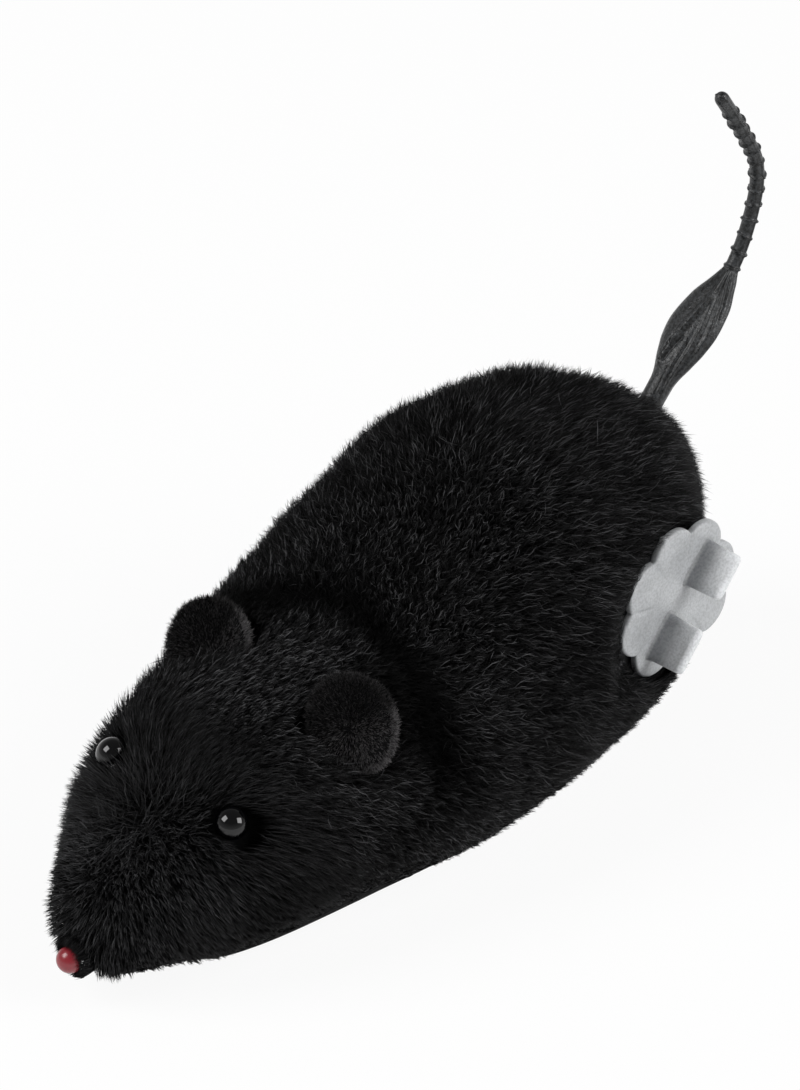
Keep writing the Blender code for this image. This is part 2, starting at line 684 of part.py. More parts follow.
def make_base_plate(finish, root):
    """Bottom plate inside the shell's rim: wheel slots, bearings for the roller and bosses for the motor."""
    plate = piece("base_plate", body_form(PLATE_DEPTH, INNER_RINGS, INNER_SIDES), finish, root)
    slab = block((-BODY_WIDTH, 0, PLATE_HEIGHT), (BODY_WIDTH, 2 * BODY_LENGTH, PLATE_TOP))
    change(plate, "INTERSECT", slab, "plate_slab")
    ears = []
    inner = ROLLER_HALF_WIDTH + ROLLER_SIDE_GAP
    for side in (1, -1):
        ends = sorted((inner * side, (inner + ROLLER_EAR_WIDTH) * side))
        low = (ends[0], ROLLER_PLACE - ROLLER_EAR_HALF_LENGTH, PLATE_HEIGHT + PLATE_THICKNESS / 3)
        high = (ends[1], ROLLER_PLACE + ROLLER_EAR_HALF_LENGTH, PLATE_TOP + ROLLER_EAR_RISE)
        ears.append(block(low, high))
    change(plate, "UNION", gathered(ears), "roller_ears")
    bosses = []
    for x, y in POST_PLACES:
        for side in (1, -1):
            low = (x * side, y, PLATE_HEIGHT + PLATE_THICKNESS / 3)
            bosses.append(rod(low, (x * side, y, PLATE_TOP + SCREW_BOSS_RISE), POST_RADIUS, 16))
    for side, reach in ((-1, -TAB_SCREW_REACH), (1, TAB_SCREW_REACH)):
        x = side * TAB_OFFSET
        y = AXLE_PLACE + reach
        low = (x, y, PLATE_HEIGHT + PLATE_THICKNESS / 3)
        bosses.append(rod(low, (x, y, PLATE_TOP + BOSS_HEIGHT), BOSS_RADIUS, 16))
    change(plate, "UNION", gathered(bosses), "screw_bosses")
    cuts = []
    high = PLATE_TOP + ROLLER_EAR_RISE + OVERRUN
    reach = ROLLER_RADIUS + WHEEL_GAP
    cuts.append(block((-inner, ROLLER_PLACE - reach, 0), (inner, ROLLER_PLACE + reach, high)))
    reach = math.sqrt(TYRE_RADIUS ** 2 - (AXLE_HEIGHT - PLATE_TOP) ** 2) + WHEEL_GAP
    near = WHEEL_STAND - WHEEL_GAP
    far = WHEEL_STAND + TYRE_WIDTH + WHEEL_GAP
    for side in (1, -1):
        ends = sorted((near * side, far * side))
        cuts.append(block((ends[0], AXLE_PLACE - reach, 0), (ends[1], AXLE_PLACE + reach, high)))
    end = inner + ROLLER_EAR_WIDTH + OVERRUN
    pin_hole = rod((-end, *ROLLER_AXIS), (end, *ROLLER_AXIS), ROLLER_PIN_RADIUS + RUN, 14)
    for x, y in POST_PLACES:
        for side in (1, -1):
            cuts.append(rod((x * side, y, 0), (x * side, y, high), SCREW_RADIUS + CLEAR, SCREW_SIDES))
    for side, reach in ((-1, -TAB_SCREW_REACH), (1, TAB_SCREW_REACH)):
        x = side * TAB_OFFSET
        cuts.append(rod((x, AXLE_PLACE + reach, 0), (x, AXLE_PLACE + reach, high), SCREW_RADIUS + CLEAR, SCREW_SIDES))
    wells = [
        rod((x * side, y, 0), (x * side, y, HEAD_SEAT + CLEAR), SCREW_HEAD_RADIUS + CLEAR, 16)
        for x, y in POST_PLACES
        for side in (1, -1)
    ]
    change(plate, "DIFFERENCE", gathered(cuts), "plate_cuts")
    change(plate, "DIFFERENCE", gathered(wells), "head_wells")
    change(plate, "DIFFERENCE", pin_hole, "pin_hole")
    return plate


# Ears, eyes, nose and tail

def make_ear(name, side, place, upward, outward, finish, root):
    """Round cupped ear that stands on the head, cut to the head's form.

    Its place is a share of the body's length, an angle round it and the height of the ear's middle over it.
    """
    share, angle, stand = place
    base, normal = surface(share, angle)
    turn = facing(mirrored(outward, side), mirrored(upward, side))
    centre = mirrored(base + normal * stand, side)
    back = EAR_CUP + EAR_THICKNESS / 2
    front = EAR_CUP - EAR_THICKNESS / 2
    profile = (
        (-back, 0),
        (-back, EAR_RADIUS * 0.35),
        (-back * 0.72, EAR_RADIUS * 0.72),
        (-back * 0.10, EAR_RADIUS * 0.96),
        (EAR_THICKNESS * 0.25, EAR_RADIUS),
        (EAR_THICKNESS * 0.50, EAR_RADIUS * 0.93),
        (EAR_THICKNESS * 0.30, EAR_RADIUS * 0.82),
        (-front * 0.70, EAR_RADIUS * 0.55),
        (-front, 0),
    )
    shape = lathe(profile, 20)
    stand = Matrix.Diagonal((EAR_WIDTH_share, 1, 1, 1)) @ Matrix.Rotation(-math.pi / 2, 4, "Y")
    moved(shape, Matrix.Translation(centre) @ turn.to_4x4() @ stand)
    ear = piece(name, shape, finish, root)
    change(ear, "DIFFERENCE", body_form(-CLEAR, BODY_RINGS, BODY_SIDES), name + "_seat_cut")
    return ear


def make_eye(side_name, side, finish, washer_finish, root):
    """Domed bead eye with a ridged shank, and the washer that holds the shank inside the shell."""
    base, normal, inward = eye_seat(side)
    washer_top = inward + 2 * CLEAR
    end = washer_top + WASHER_THICKNESS + SHANK_END
    dome = [
        (EYE_RADIUS * EYE_DOME_share * math.sin(a), EYE_RADIUS * math.cos(a))
        for a in (math.radians(d) for d in (0, 22, 44, 66))
    ]
    profile = [(-end, 0), (-end, SHANK_RADIUS * 0.7), (-end + SHANK_END / 2, SHANK_RADIUS)]
    profile += [(0, SHANK_RADIUS)] + dome + [(EYE_RADIUS * EYE_DOME_share, 0)]
    turn = Vector((1, 0, 0)).rotation_difference(normal).to_matrix()
    piece("eye_" + side_name, lathe(profile, 14), finish, root, base, turn)
    ring = (
        (-washer_top - WASHER_THICKNESS, SHANK_RADIUS + RUN),
        (-washer_top - WASHER_THICKNESS, WASHER_RADIUS),
        (-washer_top, WASHER_RADIUS),
        (-washer_top, SHANK_RADIUS + RUN),
    )
    piece("eye_washer_" + side_name, lathe(ring, 14), washer_finish, root, base, turn)


def make_nose(finish, root):
    """Rounded bead on a peg that is pushed through the cover into the shell."""
    profile = [(0, 0)]
    profile += [
        (NOSE_RADIUS * (1 - math.cos(a)), NOSE_RADIUS * math.sin(a))
        for a in (math.radians(d) for d in (25, 50, 75, 90))
    ]
    profile += [(NOSE_BACK, NOSE_RADIUS * 0.9), (NOSE_BACK, PEG_RADIUS)]
    profile += [(PEG_LENGTH - PEG_RADIUS, PEG_RADIUS), (PEG_LENGTH, PEG_RADIUS / 2), (PEG_LENGTH, 0)]
    turn = Matrix.Rotation(math.pi / 2, 3, "Z")
    piece("nose_bead", lathe(profile, 16), finish, root, (0, 0, NOSE_HEIGHT), turn)


def tail_stations(root, direction, inward):
    """Places along the tail with half width and half thickness: flange, neck, leaf and ribbed cord."""
    flange_face = inward + CLEAR
    stations = [
        (-flange_face - TAIL_FLANGE, TAIL_FLANGE_RADIUS, TAIL_FLANGE_RADIUS),
        (-flange_face, TAIL_FLANGE_RADIUS, TAIL_FLANGE_RADIUS),
        (-flange_face, TAIL_ROOT_RADIUS, TAIL_ROOT_RADIUS),
        (0, TAIL_ROOT_RADIUS, TAIL_ROOT_RADIUS),
    ]
    for share in LEAF_PLACE_shares[1:-1]:
        full = float(eased(LEAF_PLACE_shares, LEAF_WIDTH_shares, share))
        stem = TAIL_ROOT_RADIUS + (TAIL_CORD_RADIUS - TAIL_ROOT_RADIUS) * share / LEAF_PLACE_shares[-1]
        width = stem + (TAIL_LEAF_RADIUS - stem) * full
        stations.append((share * TAIL_LENGTH, width, width * (1 + (LEAF_FLAT_share - 1) * full)))
    cord_start = LEAF_PLACE_shares[-1] * TAIL_LENGTH
    stride = (TAIL_LENGTH - cord_start) / TAIL_RIBS
    for rib in range(TAIL_RIBS):
        crest = cord_start + rib * stride
        for offset, radius in ((-1, 0), (0, TAIL_RIB_HEIGHT), (1, 0)):
            radius += TAIL_CORD_RADIUS
            stations.append((crest + offset * TAIL_RIB_HALF, radius, radius))
    stations.append((TAIL_LENGTH - TAIL_CORD_RADIUS, TAIL_CORD_RADIUS, TAIL_CORD_RADIUS))
    stations.append((TAIL_LENGTH - TAIL_CORD_RADIUS / 3, TAIL_CORD_RADIUS * 0.75, TAIL_CORD_RADIUS * 0.75))
    stations.append((TAIL_LENGTH, TAIL_CORD_RADIUS * 0.3, TAIL_CORD_RADIUS * 0.3))
    return stations


def make_tail(finish, root):
    """Moulded rubber tail: it follows a line whose heading turns smoothly from share to share."""
    start, direction, inward = tail_seat()
    steps = 400
    at = np.linspace(0, 1, steps + 1)
    heading = np.radians(eased(TAIL_HEADING_shares, TAIL_HEADING_DEGREES, at))
    stride = TAIL_LENGTH / steps
    middle = (heading[1:] + heading[:-1]) / 2
    y = start.y + np.concatenate([[0], np.cumsum(np.cos(middle))]) * stride
    z = start.z + np.concatenate([[0], np.cumsum(np.sin(middle))]) * stride
    rings = []
    for along, width, thickness in tail_stations(start, direction, inward):
        share = min(max(along / TAIL_LENGTH, 0), 1)
        slope = float(np.interp(share, at, heading))
        forward = Vector((0, math.cos(slope), math.sin(slope)))
        upward = Vector((0, -forward.z, forward.y))
        centre = Vector((0, float(np.interp(share, at, y)), float(np.interp(share, at, z))))
        if along < 0:
            centre += forward * along
        ring = []
        for i in range(TAIL_SIDES):
            a = 2 * math.pi * i / TAIL_SIDES
            ring.append(centre + Vector((width * math.cos(a), 0, 0)) + upward * thickness * math.sin(a))
        rings.append(ring)
    return piece("tail", loft(rings), finish, root)


# Motor

def case_outline(wall):
    """Band round the spring, the idler wheel and the axle's pinion, with wall added outside the pocket."""
    pockets = (
        (ARBOR_AXIS, SPRING_OUTER + SPRING_STRIP + POCKET_CLEAR),
        (IDLER_AXIS, tip_radius(IDLER_TEETH) + POCKET_CLEAR),
        (AXLE_AXIS, AXLE_POCKET),
    )
    return hull([(centre, radius + wall) for centre, radius in pockets], 28)


def lug_centres():
    """Centres of the three lugs that the case's screws pass through."""
    arbor_reach = SPRING_OUTER + SPRING_STRIP + POCKET_CLEAR + CASE_WALL + LUG_RADIUS / 2
    idler_reach = tip_radius(IDLER_TEETH) + POCKET_CLEAR + CASE_WALL + LUG_RADIUS / 2
    spots = [ARBOR_AXIS + Vector((math.cos(a), math.sin(a))) * arbor_reach for a in LUG_ANGLES]
    spots.append(IDLER_AXIS + Vector((math.cos(LUG_FRONT_ANGLE), math.sin(LUG_FRONT_ANGLE))) * idler_reach)
    return spots


def spring_end_angle():
    """Angle, from +Y towards +Z, at which the spring's outer end meets its post."""
    return math.radians(100)


def make_case_half(name, side, finish, root):
    """Half of the motor case: a tray with bearings, screw lugs, a mounting tab and the spring's post."""
    outer = CASE_HALF_WIDTH * side
    inner = CASE_SPLIT * side
    half = piece(name, prism(case_outline(CASE_WALL), *sorted((inner, outer))), finish, root)
    lugs = [
        prism(circle_points(spot, LUG_RADIUS, 14), *sorted((inner, outer)))
        for spot in lug_centres()
    ]
    change(half, "UNION", gathered(lugs), name + "_lugs")
    x = side * TAB_OFFSET
    root_reach = AXLE_POCKET * TAB_ROOT_share
    reaches = sorted((side * root_reach, side * TAB_REACH))
    low = (x - TAB_WIDTH / 2, AXLE_PLACE + reaches[0], TAB_BOTTOM)
    high = (x + TAB_WIDTH / 2, AXLE_PLACE + reaches[1], TAB_TOP)
    change(half, "UNION", block(low, high), name + "_tab")
    floor = POCKET_HALF_WIDTH * side
    mouth = -OVERRUN * side
    change(half, "DIFFERENCE", prism(case_outline(0), *sorted((mouth, floor))), name + "_pocket")
    if side < 0:
        turn = spring_end_angle() + (SPRING_POST_RADIUS + CLEAR) / SPRING_OUTER
        spot = ARBOR_AXIS + Vector((math.cos(turn), math.sin(turn))) * SPRING_OUTER
        ends = (-CASE_HALF_WIDTH + CASE_WALL / 2, SPRING_RIGHT + SPRING_WIDTH + CLEAR)
        change(half, "UNION", prism(circle_points(spot, SPRING_POST_RADIUS, 10), *ends), "spring_post")
    through = sorted(((CASE_HALF_WIDTH + OVERRUN) * side, mouth))
    slot_way = (IDLER_AXIS - ARBOR_AXIS).orthogonal().normalized() * IDLER_SLOT / 2
    slot_ends = [(IDLER_AXIS + slot_way * s, IDLER_SHAFT_RADIUS + RUN) for s in (1, -1)]
    bearings = [
        prism(circle_points(ARBOR_AXIS, ARBOR_RADIUS + RUN, 16), *through),
        prism(circle_points(AXLE_AXIS, AXLE_RADIUS + RUN, 14), *through),
        prism(hull(slot_ends, 14), *through),
    ]
    change(half, "DIFFERENCE", gathered(bearings), name + "_bearings")
    holes = [
        prism(circle_points(spot, SCREW_RADIUS + CLEAR, SCREW_SIDES), *through)
        for spot in lug_centres()
    ]
    screw = (x, AXLE_PLACE + side * TAB_SCREW_REACH)
    holes.append(rod((*screw, PLATE_TOP), (*screw, TAB_TOP + OVERRUN), SCREW_RADIUS + CLEAR, SCREW_SIDES))
    change(half, "DIFFERENCE", gathered(holes), name + "_holes")
    return half


def make_mainspring(finish, root):
    """Flat strip wound into a spiral: its radius grows evenly from the arbor to its post."""
    count = SPRING_TURNS * SPRING_STEPS
    end = spring_end_angle()
    rings = []
    for i in range(count + 1):
        share = i / count
        angle = end - 2 * math.pi * SPRING_TURNS * (1 - share)
        radius = SPRING_INNER + (SPRING_OUTER - SPRING_INNER) * share
        out = Vector((0, math.cos(angle), math.sin(angle)))
        rings.append([
            Vector((x, *ARBOR_AXIS)) + out * (radius + edge)
            for x, edge in (
                (SPRING_RIGHT, -SPRING_STRIP / 2),
                (SPRING_RIGHT, SPRING_STRIP / 2),
                (SPRING_RIGHT + SPRING_WIDTH, SPRING_STRIP / 2),
                (SPRING_RIGHT + SPRING_WIDTH, -SPRING_STRIP / 2),
            )
        ])
    return piece("mainspring", loft(rings), finish, root)


def gear_outline(teeth, tooth_towards, flank_points):
    """Involute gear outline in the plane of Y and Z, with one tooth centred on the angle tooth_towards.

    At a radius r the half tooth spans: half thickness at the pitch circle, plus inv(pressure angle),
    minus inv(a), where cos(a) is the base radius over r and inv(a) = tan(a) - a. Under the base circle
    the flank runs straight to the axis.
    """
    pitch = pitch_radius(teeth)
    base = pitch * math.cos(PRESSURE_ANGLE)
    root = pitch - MODULE * DEDENDUM_share
    half = (math.pi * MODULE / 2 - TOOTH_THINNING) / (2 * pitch)
    involute = math.tan(PRESSURE_ANGLE) - PRESSURE_ANGLE
    start = max(base, root)
    radii = [start + (tip_radius(teeth) - start) * i / (flank_points - 1) for i in range(flank_points)]
    if root < base:
        radii.insert(0, root)
    flank = []
    for radius in radii:
        a = math.acos(min(1, base / radius))
        flank.append((radius, half + involute - (math.tan(a) - a)))
    outline = []
    for tooth in range(teeth):
        middle = tooth_towards + 2 * math.pi * tooth / teeth
        sides = [(r, middle - a) for r, a in flank] + [(r, middle + a) for r, a in reversed(flank)]
        outline += [(r * math.cos(a), r * math.sin(a)) for r, a in sides]
    return outline


def towards(first, second):
    line = second - first
    return math.atan2(line.y, line.x)


def make_great_gear(finish, carrier):
    """Brass wheel on the arbor, with a hub and five round windows."""
    toward = towards(ARBOR_AXIS, IDLER_AXIS)
    outline = gear_outline(GREAT_TEETH, toward, 3)
    gear = piece("great_gear", prism(outline, GREAT_GEAR_LEFT - GEAR_WIDTH, GREAT_GEAR_LEFT), finish, carrier)
    hub = ((GREAT_GEAR_LEFT - GEAR_WIDTH, 0), (GREAT_GEAR_LEFT - GEAR_WIDTH, COLLAR_RADIUS))
    hub += ((GREAT_GEAR_LEFT + GEAR_WIDTH / 2, COLLAR_RADIUS), (GREAT_GEAR_LEFT + GEAR_WIDTH / 2, 0))
    hub = [(x - PINION_OVERHANG if x < 0 else x, r) for x, r in hub]
    change(gear, "UNION", lathe(hub, 16), "great_gear_hub")
    far = GREAT_GEAR_LEFT + GEAR_WIDTH
    window_ring = (pitch_radius(GREAT_TEETH) + COLLAR_RADIUS) / 2
    window = (pitch_radius(GREAT_TEETH) - COLLAR_RADIUS) / 4
    cuts = [rod((-far - GEAR_WIDTH, 0, 0), (far, 0, 0), ARBOR_RADIUS + RUN, 16)]
    for i in range(5):
        a = 2 * math.pi * i / 5
        y = window_ring * math.cos(a)
        z = window_ring * math.sin(a)
        cuts.append(rod((-far - GEAR_WIDTH, y, z), (far, y, z), window, 12))
    change(gear, "DIFFERENCE", gathered(cuts), "great_gear_cuts")
    return gear


def make_idler(finish, shaft_finish, carrier):
    """Moulded wheel and pinion in one, on a thin steel shaft."""
    wheel = gear_outline(IDLER_TEETH, towards(IDLER_AXIS, AXLE_AXIS), 3)
    gap = towards(IDLER_AXIS, ARBOR_AXIS) + math.pi / PINION_TEETH
    right = IDLER_WHEEL_LEFT - GEAR_WIDTH
    gear = piece("idler_gear", prism(wheel, right, IDLER_WHEEL_LEFT), finish, carrier)
    pinion = prism(gear_outline(PINION_TEETH, gap, 3), IDLER_PINION_RIGHT, right + GEAR_WIDTH / 2)
    change(gear, "UNION", pinion, "idler_pinion")
    end = CASE_HALF_WIDTH + OVERRUN
    change(gear, "DIFFERENCE", rod((-end, 0, 0), (end, 0, 0), IDLER_SHAFT_RADIUS + RUN, 14), "idler_bore")
    tip = CASE_HALF_WIDTH + RUN
    ends = ((-tip, 0), (-tip, IDLER_SHAFT_RADIUS), (tip, IDLER_SHAFT_RADIUS), (tip, 0))
    piece("idler_shaft", lathe(ends, 12), shaft_finish, carrier)


def make_axle_pinion(finish, carrier):
    gap = towards(AXLE_AXIS, IDLER_AXIS) + math.pi / PINION_TEETH
    right = IDLER_WHEEL_LEFT - GEAR_WIDTH - PINION_OVERHANG
    left = IDLER_WHEEL_LEFT + PINION_OVERHANG
    pinion = piece("axle_pinion", prism(gear_outline(PINION_TEETH, gap, 3), right, left), finish, carrier)
    end = left + OVERRUN
    change(pinion, "DIFFERENCE", rod((-end, 0, 0), (end, 0, 0), AXLE_RADIUS + RUN, 14), "pinion_bore")


def make_arbor(finish, carrier):
    """Winding shaft, with a thrust collar inside the left wall of the case."""
    collar = POCKET_HALF_WIDTH - RUN
    right = -CASE_HALF_WIDTH - ARBOR_RADIUS / 2
    left = KNOB_STAND + KNOB_DISC - KNOB_FLOOR - CLEAR
    chamfer = ARBOR_RADIUS / 5
    profile = (
        (right, 0),
        (right, ARBOR_RADIUS - chamfer),
        (right + chamfer, ARBOR_RADIUS),
        (collar - COLLAR_WIDTH, ARBOR_RADIUS),
        (collar - COLLAR_WIDTH, COLLAR_RADIUS),
        (collar, COLLAR_RADIUS),
        (collar, ARBOR_RADIUS),
        (left - chamfer, ARBOR_RADIUS),
        (left, ARBOR_RADIUS - chamfer),
        (left, 0),
    )
    piece("winding_arbor", lathe(profile, 16), finish, carrier)


# Winding knob

def lobed_radius(angle):
    """Radius of a disc whose edge is a ring of equal round lobes: the outer edge of LOBES circles."""
    centre = KNOB_RADIUS - LOBE_RADIUS
    pitch = 2 * math.pi / LOBES
    offset = (angle - LOBE_ANGLE + pitch / 2) % pitch - pitch / 2
    aside = centre * math.sin(offset)
    return centre * math.cos(offset) + math.sqrt(LOBE_RADIUS ** 2 - aside ** 2)


def rounded_rectangle(half_length, half_width, radius, corner_points):
    """Outline in the plane of Y and Z, with round corners."""
    outline = []
    for quarter, (sy, sz) in enumerate(((1, 1), (-1, 1), (-1, -1), (1, -1))):
        for i in range(corner_points):
            a = math.pi / 2 * (quarter + i / (corner_points - 1))
            y = sy * (half_length - radius) + radius * math.cos(a)
            z = sz * (half_width - radius) + radius * math.sin(a)
            outline.append((y, z))
    return outline


def make_fin(side):
    """Upright grip on the disc: a rounded plate with draft on its sides and a rounded top."""
    foot = KNOB_STAND + KNOB_DISC / 2
    top = KNOB_STAND + KNOB_DISC + FIN_HEIGHT
    levels = (
        (foot, 0.0),
        (top - FIN_ROUND, FIN_DRAFT),
        (top - FIN_ROUND * 0.3, FIN_DRAFT + FIN_ROUND * 0.3),
        (top, FIN_DRAFT + FIN_ROUND * 0.8),
    )
    rings = []
    for x, inset in levels:
        half_length = FIN_LENGTH / 2 - inset
        half_width = FIN_THICKNESS / 2 - inset
        corner = min(FIN_ROUND, half_width * 0.9)
        outline = rounded_rectangle(half_length, half_width, corner, 4)
        shift = side * (FIN_GAP + FIN_LENGTH) / 2
        rings.append([(x, y + shift, z) for y, z in outline])
    return moved(loft(rings), Matrix.Rotation(FIN_ANGLE, 4, "X"))


def make_knob(finish, carrier):
    """Winding knob: a lobed disc with two upright grips and a sleeve over the arbor."""
    count = LOBES * LOBE_POINTS
    start = LOBE_ANGLE + math.pi / LOBES
    angles = [start + 2 * math.pi * i / count for i in range(count)]
    rings = []
    low = KNOB_STAND
    high = KNOB_STAND + KNOB_DISC
    levels = ((low, KNOB_CHAMFER), (low + KNOB_CHAMFER, 0), (high - KNOB_CHAMFER, 0), (high, KNOB_CHAMFER))
    for x, inset in levels:
        radii = [lobed_radius(a) - inset for a in angles]
        rings.append([(x, r * math.cos(a), r * math.sin(a)) for r, a in zip(radii, angles)])
    knob = piece("winding_knob", loft(rings), finish, carrier)
    sleeve_end = KNOB_STAND - KNOB_HUB_LENGTH
    hub = ((sleeve_end, 0), (sleeve_end, KNOB_HUB_RADIUS), (low + KNOB_DISC / 2, KNOB_HUB_RADIUS))
    hub += ((low + KNOB_DISC / 2, 0),)
    change(knob, "UNION", lathe(hub, 20), "knob_hub")
    change(knob, "UNION", make_fin(1), "knob_fin_outer")
    change(knob, "UNION", make_fin(-1), "knob_fin_inner")
    bore = rod((sleeve_end - OVERRUN, 0, 0), (high - KNOB_FLOOR, 0, 0), ARBOR_RADIUS + RUN, 16)
    change(knob, "DIFFERENCE", bore, "knob_bore")
    return knob


# Wheels and screws

def make_wheel(side_name, side, hub_finish, tyre_finish, carrier):
    """Moulded wheel with a recessed web, and the rubber tyre on its rim."""
    width = TYRE_WIDTH
    bore = AXLE_RADIUS + RUN
    profile = (
        (0, bore),
        (0, HUB_RADIUS),
        (WEB_INSET, WEB_RADIUS),
        (WEB_INSET, RIM_RADIUS - RIM_DEPTH),
        (0, RIM_RADIUS - RIM_DEPTH * 0.8),
        (0, RIM_RADIUS),
        (width, RIM_RADIUS),
        (width, RIM_RADIUS - RIM_DEPTH * 0.8),
        (width - WEB_INSET, RIM_RADIUS - RIM_DEPTH),
        (width - WEB_INSET, WEB_RADIUS),
        (width, HUB_RADIUS),
        (width, bore),
    )
    place = [(side * (WHEEL_STAND + x), r) for x, r in profile]
    piece("wheel_hub_" + side_name, lathe(place, HUB_SIDES), hub_finish, carrier)
    seat = RIM_RADIUS + RUN
    tread = (
        (0, seat),
        (0, TYRE_RADIUS - TYRE_SHOULDER),
        (TYRE_SHOULDER, TYRE_RADIUS),
        (width - TYRE_SHOULDER, TYRE_RADIUS),
        (width, TYRE_RADIUS - TYRE_SHOULDER),
        (width, seat),
    )
    place = [(side * (WHEEL_STAND + x), r) for x, r in tread]
    piece("tyre_" + side_name, lathe(place, TYRE_SIDES), tyre_finish, carrier)


def make_rear_axle(finish, carrier):
    tip = WHEEL_STAND + TYRE_WIDTH + AXLE_END
    chamfer = AXLE_RADIUS / 4
    profile = (
        (-tip, 0),
        (-tip, AXLE_RADIUS - chamfer),
        (-tip + chamfer, AXLE_RADIUS),
        (tip - chamfer, AXLE_RADIUS),
        (tip, AXLE_RADIUS - chamfer),
        (tip, 0),
    )
    piece("rear_axle", lathe(profile, 14), finish, carrier)


def make_front_roller(finish, pin_finish, carrier, root):
    """Barrel roller in the middle of the plate, and the fixed pin that it turns on."""
    half = ROLLER_HALF_WIDTH
    bore = ROLLER_PIN_RADIUS + RUN
    shoulder = ROLLER_RADIUS - TYRE_SHOULDER
    profile = (
        (-half, bore),
        (-half, shoulder),
        (-half + TYRE_SHOULDER, ROLLER_RADIUS),
        (half - TYRE_SHOULDER, ROLLER_RADIUS),
        (half, shoulder),
        (half, bore),
    )
    piece("front_roller", lathe(profile, ROLLER_SIDES), finish, carrier)
    end = ROLLER_HALF_WIDTH + ROLLER_SIDE_GAP + ROLLER_EAR_WIDTH
    ends = ((-end, 0), (-end, ROLLER_PIN_RADIUS), (end, ROLLER_PIN_RADIUS), (end, 0))
    piece("roller_pin", lathe(ends, 12), pin_finish, root, (0, *ROLLER_AXIS))


def make_screw(name, head_seat, direction, length, finish, root):
    """Pan head screw whose head rests on head_seat and whose shank runs the way of direction."""
    profile = (
        (-SCREW_HEAD_HEIGHT, 0),
        (-SCREW_HEAD_HEIGHT, SCREW_HEAD_RADIUS * 0.6),
        (-SCREW_HEAD_HEIGHT / 2, SCREW_HEAD_RADIUS),
        (0, SCREW_HEAD_RADIUS),
        (0, SCREW_RADIUS),
        (length - SCREW_RADIUS, SCREW_RADIUS),
        (length, 0),
    )
    turn = Vector((1, 0, 0)).rotation_difference(Vector(direction)).to_matrix()
    piece(name, lathe(profile, SCREW_SIDES), finish, root, head_seat, turn)


def make_screws(finish, root):
    number = 1
    for x, y in POST_PLACES:
        for side in (1, -1):
            seat = (x * side, y, HEAD_SEAT)
            make_screw(f"base_screw_{number}", seat, (0, 0, 1), BASE_SCREW_LENGTH, finish, root)
            number += 1
    for number, side in ((1, -1), (2, 1)):
        seat = (side * TAB_OFFSET, AXLE_PLACE + side * TAB_SCREW_REACH, TAB_TOP + CLEAR)
        make_screw(f"motor_screw_{number}", seat, (0, 0, -1), MOTOR_SCREW_LENGTH, finish, root)
    for number, spot in enumerate(lug_centres(), 1):
        seat = (CASE_HALF_WIDTH + CLEAR, *spot)
        make_screw(f"case_screw_{number}", seat, (-1, 0, 0), CASE_SCREW_LENGTH, finish, root)


def centre_on_floor(root):
    """Moves the mouse so that its origin is the bottom centre of its bounding box."""
    bpy.context.view_layer.update()
    depsgraph = bpy.context.evaluated_depsgraph_get()
    corners = []
    for thing in bpy.context.scene.objects:
        if thing.type != "MESH" or thing.hide_render:
            continue
        evaluated = thing.evaluated_get(depsgraph)
        corners += [evaluated.matrix_world @ Vector(corner) for corner in evaluated.bound_box]
    low = [min(corner[i] for corner in corners) for i in range(3)]
    high = [max(corner[i] for corner in corners) for i in range(3)]
    root.location = (-(low[0] + high[0]) / 2, -(low[1] + high[1]) / 2, -low[2])
    bpy.context.view_layer.update()


def build():
    clear_scene()
    plush = material("black_plush", "121213", 1.0)
    shell_plastic = material("black_shell_abs", "1C1C1E", 0.45)
    case_plastic = material("white_case_plastic", "DADAD6", 0.4)
    eye_plastic = material("black_glossy_bead", "070708", 0.08)
    washer_plastic = material("white_washer_plastic", "E4E4E0", 0.5)
    nose_plastic = material("pink_nose_plastic", "D9485A", 0.25)
    rubber = material("black_tail_rubber", "232325", 0.6)
    knob_plastic = material("milky_knob_plastic", "C6C8C9", 0.35)
    brass = material("gear_brass", "C9A24A", 0.35, 1.0)
    steel = material("shaft_steel", "B9BCC0", 0.3, 1.0)
    spring_steel = material("blued_spring_steel", "5B6470", 0.3, 1.0)
    gear_plastic = material("white_gear_acetal", "ECECE8", 0.4)
    wheel_plastic = material("black_wheel_plastic", "202022", 0.5)
    tyre_rubber = material("black_tyre_rubber", "18181A", 0.8)

    root = empty("mouse")
    winder = empty("winder_axis", root, (0, *ARBOR_AXIS))
    idler = empty("idler_axis", root, (0, *IDLER_AXIS))
    axle = empty("rear_axle_axis", root, (0, *AXLE_AXIS))
    roller = empty("roller_axis", root, (0, *ROLLER_AXIS))

    make_fur_cover(plush, root)
    make_body_shell(shell_plastic, root)
    make_base_plate(shell_plastic, root)
    for side_name, side in (("left", 1), ("right", -1)):
        make_eye(side_name, side, eye_plastic, washer_plastic, root)
        make_case_half("case_" + side_name, side, case_plastic, root)
        make_wheel(side_name, side, wheel_plastic, tyre_rubber, axle)
    left_place = (LEFT_EAR_PLACE_share, LEFT_EAR_ANGLE, LEFT_EAR_STAND)
    right_place = (RIGHT_EAR_PLACE_share, RIGHT_EAR_ANGLE, RIGHT_EAR_STAND)
    make_ear("ear_left", 1, left_place, LEFT_EAR_UP, LEFT_EAR_FACING, plush, root)
    make_ear("ear_right", -1, right_place, RIGHT_EAR_UP, RIGHT_EAR_FACING, plush, root)
    make_nose(nose_plastic, root)
    make_tail(rubber, root)
    make_mainspring(spring_steel, root)
    make_great_gear(brass, winder)
    make_arbor(steel, winder)
    make_knob(knob_plastic, winder)
    make_idler(gear_plastic, steel, idler)
    make_rear_axle(steel, axle)
    make_axle_pinion(gear_plastic, axle)
    make_front_roller(wheel_plastic, steel, roller, root)
    make_screws(steel, root)
    centre_on_floor(root)


build()
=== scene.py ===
import json
import math

